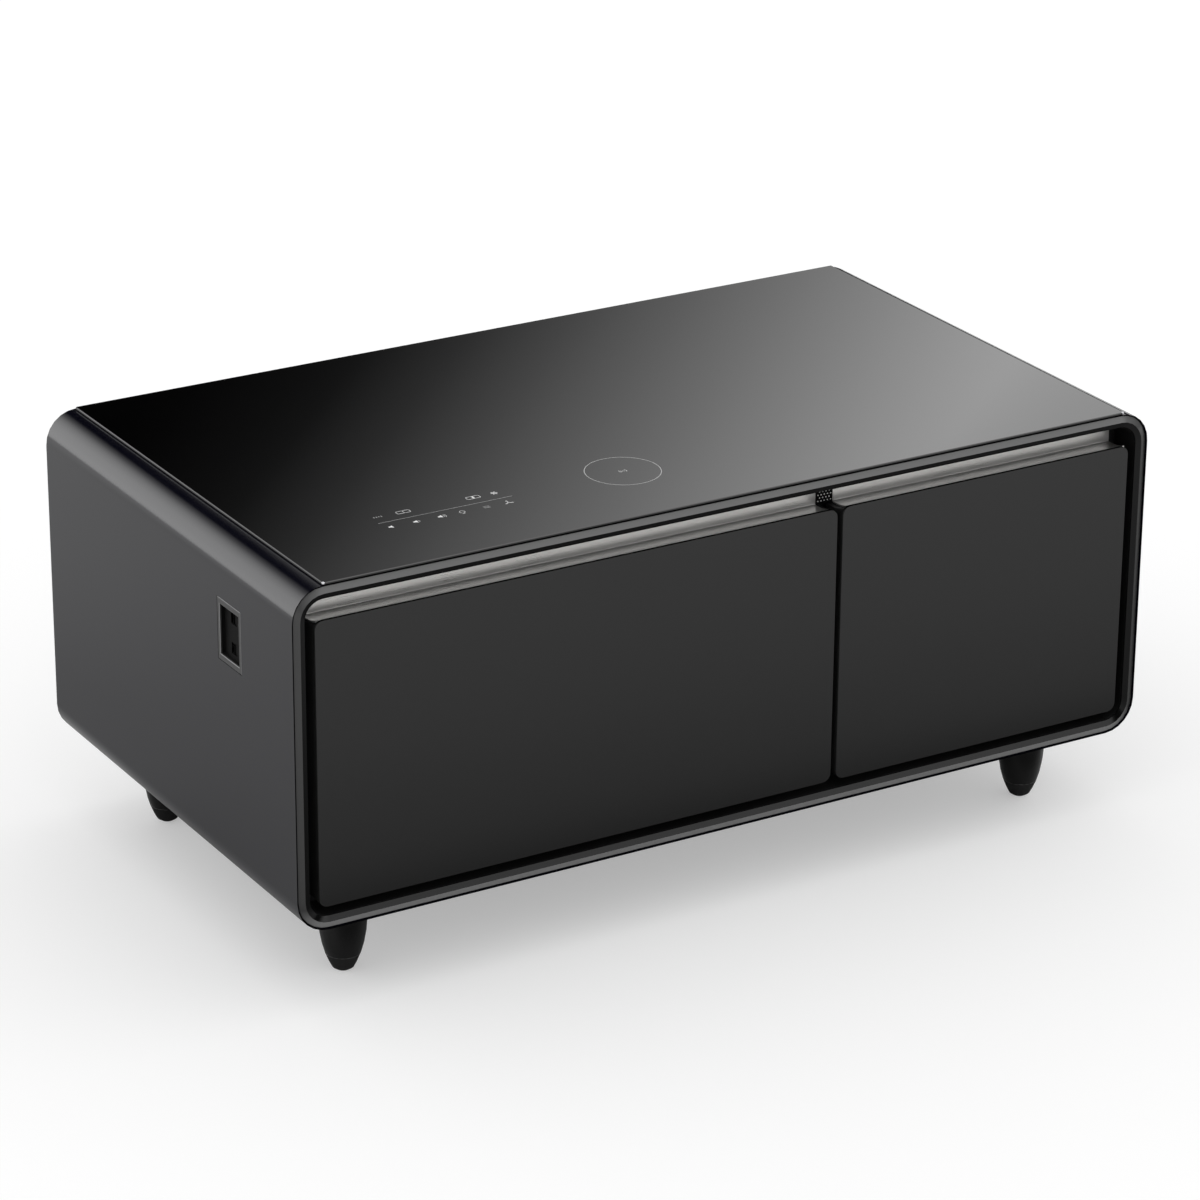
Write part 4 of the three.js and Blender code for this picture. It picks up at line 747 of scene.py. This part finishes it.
def make_speaker_eyelets(finishes):
    """A rolled rim round every hole of the cover, in staggered rows, near-white as a painted glint on the
    holes.
    """
    shape = bmesh.new()
    middle_x = (GRILLE_LOW[0] + GRILLE_HIGH[0]) / 2
    row_pitch = EYELET_PITCH * math.sqrt(3) / 2
    for row in range(EYELET_ROWS):
        count = EYELETS_IN_ROW - row % 2
        for step in range(count):
            x = middle_x + (step - (count - 1) / 2) * EYELET_PITCH
            z = EYELET_MIDDLE + (row - (EYELET_ROWS - 1) / 2) * row_pitch
            centre = (x, COVER_FRONT, z)
            add_ring(shape, centre, (0, 1, 0), EYELET_RADIUS, EYELET_WIRE, EYELET_STEPS, EYELET_SIDES)
    rims = piece("speaker_eyelets", shape, finishes["rim_silver"], "cabinet")
    smooth_all(rims)


# Ground corners of the glass in a near-white finish that paints their glint, which reach as high as the ink on
# it

CORNER_FACET = 2.6 * MM
INK_HEIGHT = 0.06 * MM
INK_LIFT = 0.02 * MM
STROKE = 0.6
FINE_STROKE = 0.5
WIDE_STROKE = 0.7
BOLD_STROKE = 1.0
HAIRLINE = 0.45


def make_glass_corners(finishes):
    """Clipped and ground corners at the front of the glass, near-white as a painted glint."""
    shape = bmesh.new()
    for x, side in ((GLASS_LOW[0], 1), (GLASS_HIGH[0], -1)):
        start = (min(x, x + side * CORNER_FACET), GLASS_LOW[1], GLASS_LOW[2] + CORNER_FACET / 2)
        end = (max(x, x + side * CORNER_FACET), GLASS_LOW[1] + CORNER_FACET, GLASS_Z + INK_LIFT)
        made = add_box(shape, start, end)
        upright = [
            edge for edge in {edge for vertex in made for edge in vertex.link_edges}
            if all(abs(vertex.co.x - x) < TOUCHING for vertex in edge.verts)
            and all(abs(vertex.co.y - GLASS_LOW[1]) < TOUCHING for vertex in edge.verts)
        ]
        round_edges(shape, upright, CORNER_FACET / 2, segments=2)
    piece("glass_corners", shape, finishes["ground_edge"], "cabinet")


# Fittings: a bright ring at each leg's tip, screws of the back panel and of the leg plates

LEG_NAMES = ("front_left", "front_right", "back_left", "back_right")
TIP_RING_WIRE = 0.4 * MM
TIP_RING_STEPS = 64
BACK_SCREW_INSET = 9 * MM
BACK_SCREW_RADIUS = 3.4 * MM
BACK_SCREW_HEIGHT = 1.8 * MM
BACK_SCREWS_IN_ROW = 6
PLATE_SCREW_INSET = 6 * MM
PLATE_SCREW_RADIUS = 3 * MM
PLATE_SCREW_HEIGHT = 1.6 * MM


def make_tip_rings(finishes):
    shape = bmesh.new()
    for name in LEG_NAMES:
        low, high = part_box("leg_tip_" + name)
        centre = ((low[0] + high[0]) / 2, (low[1] + high[1]) / 2, high[2])
        add_ring(shape, centre, (0, 0, 1), (high[0] - low[0]) / 2, TIP_RING_WIRE, TIP_RING_STEPS)
    rings = piece("leg_tip_rings", shape, finishes["ring_grey"], "cabinet")
    smooth_all(rings)


def make_back_screws(finishes):
    shape = bmesh.new()
    left, right = BACK_LOW[0] + BACK_SCREW_INSET, BACK_HIGH[0] - BACK_SCREW_INSET
    bottom, top = BACK_LOW[2] + BACK_SCREW_INSET, BACK_HIGH[2] - BACK_SCREW_INSET
    first, last = left + 3 * BACK_SCREW_INSET, right - 3 * BACK_SCREW_INSET
    spots = [(x, (bottom + top) / 2) for x in (left, right)]
    for z in (bottom, top):
        for step in range(BACK_SCREWS_IN_ROW):
            spots.append((first + (last - first) * step / (BACK_SCREWS_IN_ROW - 1), z))
    for x, z in spots:
        add_screw(shape, (x, BACK_HIGH[1], z), (0, 1, 0), BACK_SCREW_RADIUS, BACK_SCREW_HEIGHT)
    piece("back_screws", shape, finishes["screw_black"], "cabinet")


def make_plate_screws(finishes):
    shape = bmesh.new()
    for name in LEG_NAMES:
        low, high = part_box("leg_plate_" + name)
        for x in (low[0] + PLATE_SCREW_INSET, high[0] - PLATE_SCREW_INSET):
            for y in (low[1] + PLATE_SCREW_INSET, high[1] - PLATE_SCREW_INSET):
                add_screw(shape, (x, y, low[2]), (0, 0, -1), PLATE_SCREW_RADIUS, PLATE_SCREW_HEIGHT)
    piece("leg_plate_screws", shape, finishes["screw_black"], "cabinet")


# Printing on the glass

def add_bar(shape, start, end, width):
    """Flat stroke of ink from start to end, given in millimetres on the glass."""
    start, end = Vector((*start, 0)) * MM, Vector((*end, 0)) * MM
    run = end - start
    middle = (start + end) / 2 + Vector((0, 0, GLASS_Z + INK_LIFT + INK_HEIGHT / 2))
    size = Matrix.Diagonal((run.length + width * MM / 2, width * MM, INK_HEIGHT, 1))
    turn = Matrix.Rotation(math.atan2(run.y, run.x), 4, "Z")
    bmesh.ops.create_cube(shape, size=1, matrix=Matrix.Translation(middle) @ turn @ size)


def add_outline(shape, points, width):
    for start, end in zip(points, points[1:]):
        add_bar(shape, start, end, width)


def add_arc(shape, centre, radius, start, end, width, steps=8):
    angles = [start + (end - start) * step / steps for step in range(steps + 1)]
    points = [
        (centre[0] + radius * math.cos(angle), centre[1] + radius * math.sin(angle))
        for angle in angles
    ]
    add_outline(shape, points, width)


def raise_ink(shape, faces):
    """Gives flat ink its thickness."""
    raised = bmesh.ops.extrude_face_region(shape, geom=faces)
    moved = [item for item in raised["geom"] if isinstance(item, bmesh.types.BMVert)]
    bmesh.ops.translate(shape, verts=moved, vec=(0, 0, INK_HEIGHT))


def add_patch(shape, points):
    """Filled patch of ink with a closed outline."""
    z = GLASS_Z + INK_LIFT
    vertices = [shape.verts.new((x * MM, y * MM, z)) for x, y in points]
    raise_ink(shape, [shape.faces.new(vertices)])


# Charging spot, in millimetres on the glass
RING_CENTRE = (-78, -182)
RING_RADIUS = 42.5
RING_WIDTH = 0.8
RING_SIDES = 128
MARK_RADII = (2.4, 4.4)
MARK_REACH = 0.75
MARK_DOT = 0.4


def make_charging_ring(finishes):
    shape = bmesh.new()
    place = Matrix.Translation((RING_CENTRE[0] * MM, RING_CENTRE[1] * MM, GLASS_Z + INK_LIFT))
    edges = []
    for radius in (RING_RADIUS - RING_WIDTH / 2, RING_RADIUS + RING_WIDTH / 2):
        made = bmesh.ops.create_circle(shape, segments=RING_SIDES, radius=radius * MM, matrix=place)
        edges += list({edge for vertex in made["verts"] for edge in vertex.link_edges})
    raise_ink(shape, bmesh.ops.bridge_loops(shape, edges=edges)["faces"])
    piece("charging_ring", shape, finishes["ink_grey"], "cabinet")


def make_charging_mark(finishes):
    """Two pairs of curved strokes round a dot."""
    shape = bmesh.new()
    for side in (0, math.pi):
        for radius in MARK_RADII:
            add_arc(shape, RING_CENTRE, radius, side - MARK_REACH, side + MARK_REACH, STROKE, steps=5)
    x, y = RING_CENTRE
    add_bar(shape, (x - MARK_DOT, y), (x + MARK_DOT, y), BOLD_STROKE)
    piece("charging_mark", shape, finishes["ink_bright"], "cabinet")


# Touch signs, in millimetres: two rows with a line between them
UPPER_ROW = -170
LOWER_ROW = -202
DIVIDER = ((-385, -187), (-221, -187))
BARS_X, LEFT_DRAWER_X, RIGHT_DRAWER_X, FROST_X = -377, -346, -260, -234
QUIET_X, LOW_SOUND_X, LOUD_SOUND_X, LIGHT_X, LINES_X, FAN_X = -377, -347, -317, -291, -261, -234


def add_bars_icon(shape, x, y):
    for step in range(4):
        centre = x + (step - 1.5) * 3
        add_bar(shape, (centre, y - 1.4), (centre, y + 1.4), WIDE_STROKE)


def add_drawer_icon(shape, x, y, filled):
    """Oblong with clipped corners, parted by a thin or a broad bar."""
    width, height, corner = 8, 3.4, 1
    quarter = [(width - corner, -height), (width, corner - height)]
    side = quarter + [(across, -along) for across, along in reversed(quarter)]
    outline = side + [(-across, -along) for across, along in side]
    outline.append(outline[0])
    add_outline(shape, [(x + across, y + along) for across, along in outline], STROKE)
    add_bar(shape, (x, y - height), (x, y + height), 2.2 if filled else STROKE)


def add_speaker_icon(shape, x, y, waves):
    """Loudspeaker: a small box with a horn, and an arc for each sound wave."""
    horn = [(-3.8, -1.3), (-1.8, -1.3), (1.2, -3.4), (1.2, 3.4), (-1.8, 1.3), (-3.8, 1.3)]
    add_patch(shape, [(x + across, y + along) for across, along in horn])
    for wave in range(waves):
        add_arc(shape, (x + 1, y), 2.8 + 2 * wave, -0.8, 0.8, STROKE, steps=5)


def add_light_icon(shape, x, y):
    """Bulb over the two lines of its base."""
    add_arc(shape, (x, y + 0.6), 3.2, -1.0, math.pi + 1.0, STROKE, steps=10)
    for reach, drop in ((1.4, 3.1), (0.9, 4.3)):
        add_bar(shape, (x - reach, y - drop), (x + reach, y - drop), STROKE)


def add_lines_icon(shape, x, y):
    for step in (-1, 0, 1):
        add_bar(shape, (x - 3.6, y + step * 2.2), (x + 3.6, y + step * 2.2), FINE_STROKE)


def add_fan_icon(shape, x, y):
    """Three arms with hooked ends."""
    for turn in range(3):
        angle = math.pi / 2 + turn * 2 * math.pi / 3
        tip = (x + 4.2 * math.cos(angle), y + 4.2 * math.sin(angle))
        add_bar(shape, (x, y), tip, BOLD_STROKE)
        add_arc(shape, tip, 1.2, angle - 0.4, angle + 1.8, WIDE_STROKE, steps=4)


def add_frost_icon(shape, x, y):
    """Three crossed bars."""
    for turn in range(3):
        angle = turn * math.pi / 3
        across, along = 4 * math.cos(angle), 4 * math.sin(angle)
        add_bar(shape, (x - across, y - along), (x + across, y + along), 1.1)


def make_touch_icons(finishes):
    bright = bmesh.new()
    add_drawer_icon(bright, LEFT_DRAWER_X, UPPER_ROW, filled=False)
    add_drawer_icon(bright, RIGHT_DRAWER_X, UPPER_ROW, filled=True)
    add_frost_icon(bright, FROST_X, UPPER_ROW)
    for waves, x in enumerate((QUIET_X, LOW_SOUND_X, LOUD_SOUND_X)):
        add_speaker_icon(bright, x, LOWER_ROW, waves)
    add_light_icon(bright, LIGHT_X, LOWER_ROW)
    add_fan_icon(bright, FAN_X, LOWER_ROW)
    piece("touch_icons", bright, finishes["ink_bright"], "cabinet")
    soft = bmesh.new()
    add_bars_icon(soft, BARS_X, UPPER_ROW)
    add_lines_icon(soft, LINES_X, LOWER_ROW)
    piece("touch_icons_soft", soft, finishes["ink_grey"], "cabinet")
    line = bmesh.new()
    add_bar(line, *DIVIDER, HAIRLINE)
    piece("touch_divider", line, finishes["ink_grey"], "cabinet")


# Floor, backdrop and lights

# The floor shows matt surfaces an even tone and glossy ones a painted shade round the table, darker near it:
# a ramp on the distance from its centre, drawn out to the left, times a ramp from front to back.
FLOOR_HALF = 4.5
FLOOR_ALBEDO = 0.67
FLOOR_GLOW = 0.36
SHADE_CENTRE = (-0.35, 0.45, 0.0)
SHADE_REACH = 2.5
SHADE_SQUASH = 0.1
NEAR_FRONT = [(0.1, 1.0), (0.385, 0.87), (0.53, 0.4), (0.68, 0.35), (0.74, 1.0)]
SHADE_STOPS = [
    (0.16, 0.50), (0.24, 0.57), (0.32, 0.63), (0.48, 0.68), (0.64, 0.79), (0.8, 0.88), (1.0, 1.0),
]


def ray_kinds(tree):
    """Whether a ray comes from the camera, off a glossy surface or through glass."""
    camera = tree.node("ShaderNodeLightPath", output="Is Camera Ray")
    return [camera] + tree.more(camera, "Is Glossy Ray", "Is Transmission Ray")


def make_floor():
    shape = bmesh.new()
    bmesh.ops.create_grid(shape, x_segments=1, y_segments=1, size=FLOOR_HALF)
    mesh = bpy.data.meshes.new("floor")
    shape.to_mesh(mesh)
    shape.free()
    floor = bpy.data.objects.new("floor", mesh)
    bpy.context.collection.objects.link(floor)
    surface = Surface("floor_white", Roughness=0.9, Specular_IOR_Level=0.0)
    camera, glossy, through = ray_kinds(surface)
    place = surface.node("ShaderNodeTexCoord", output="Object")
    across, along, up = surface.split(surface.vector_maths("SUBTRACT", place, SHADE_CENTRE))
    across = across.maths("MINIMUM", across, across * SHADE_SQUASH)
    apart = across.maths("SQRT", across * across + along * along)
    before = surface.ramp(along + (SHADE_CENTRE[1] + 1), NEAR_FRONT)
    reflected_painted_shade = surface.ramp(apart / SHADE_REACH, SHADE_STOPS) * before
    # Painted shade: glossy rays see the floor darker round the table
    surface.paint(glossy, rgb(FLOOR_ALBEDO), reflected_painted_shade)
    surface.feed(surface.shader.inputs["Emission Color"], rgb(1.0))
    surface.feed(surface.shader.inputs["Emission Strength"], (camera + through) * FLOOR_GLOW)
    mesh.materials.append(surface.material)


# Softboxes as glossy surfaces see them: one high to the right, one low behind to the left and a
# small low one in front. Stops pair the cosine to a box's axis, or a height, with a brightness.
RIGHT_BOX = Vector((0.561, -0.593, 0.578))
RIGHT_STOPS = [
    (-0.082, 0.0), (-0.056, 0.025), (-0.040, 0.125), (-0.024, 0.32), (-0.008, 0.57),
    (0.008, 0.855), (0.024, 1.19), (0.040, 1.56), (0.054, 1.88), (0.068, 1.66), (0.09, 1.50),
    (0.166, 2.2), (0.5, 3.0),
]
FOOT_TILT = 0.3
RIGHT_BOX_FOOT = [(0.30, 0.0), (0.48, 1.0)]
LEFT_BOX = Vector((-0.575, 0.791, 0.208))
LEFT_STOPS = [(0.76, 0.0), (0.839, 0.6), (0.927, 1.95), (0.985, 2.65)]
BOX_PEAK = 3.4
FRONT_STOPS = [(0.0, 1.0), (0.12, 2.8), (0.2, 2.8), (0.25, 2.2), (0.28, 0.3), (0.34, 0.05), (0.6, 0.0)]
FRONT_DEPTH = [(0.2, 1.0), (0.35, 0.0)]
FRONT_WIDTH = [(0.62, 0.0), (0.68, 1.0), (0.79, 1.0), (0.84, 0.0)]


def softbox(tree, direction, axis, stops):
    """Brightness of a box against how nearly a direction points along its axis."""
    facing = tree.vector_maths("DOT_PRODUCT", direction, axis, "Value")
    ramp_stops = [((cosine + 1) / 2, level / BOX_PEAK) for cosine, level in stops]
    return tree.ramp(facing * 0.5 + 0.5, ramp_stops) * BOX_PEAK


def make_world():
    """White for the camera, an even dome for matte surfaces, softboxes for glossy ones."""
    world = bpy.data.worlds.new("studio")
    bpy.context.scene.world = world
    world.use_nodes = True
    tree = NodeTree(world.node_tree)
    background = world.node_tree.nodes["Background"]
    direction = tree.node("ShaderNodeTexCoord", output="Generated")
    sideways, depth, rise = tree.split(direction)
    foot = tree.ramp(rise + depth * FOOT_TILT, RIGHT_BOX_FOOT)
    right = softbox(tree, direction, RIGHT_BOX, RIGHT_STOPS) * foot
    left = softbox(tree, direction, LEFT_BOX, LEFT_STOPS)
    low_front = tree.ramp(rise, [(height, level / BOX_PEAK) for height, level in FRONT_STOPS])
    window = tree.ramp(depth * 0.5 + 0.5, FRONT_DEPTH) * tree.ramp(sideways * 0.5 + 0.5, FRONT_WIDTH)
    front = low_front * window * BOX_PEAK
    glossy = ray_kinds(tree)[1]
    tree.feed(background.inputs["Color"], rgb(1.0))
    tree.feed(background.inputs["Strength"], glossy * (right + left + front) + (1 - glossy))


PIECES = (
    make_pocket_frame, make_pocket_tray, make_socket_contacts, make_speaker_cover,
    make_speaker_eyelets, make_glass_corners, make_tip_rings, make_back_screws,
    make_plate_screws, make_charging_ring, make_charging_mark, make_touch_icons,
)

make_camera()
finishes = make_finishes()
dress_nodes(finishes)
smooth_nodes()
for make_piece in PIECES:
    make_piece(finishes)
make_floor()
make_world()
bpy.context.scene.view_settings.view_transform = "Standard"
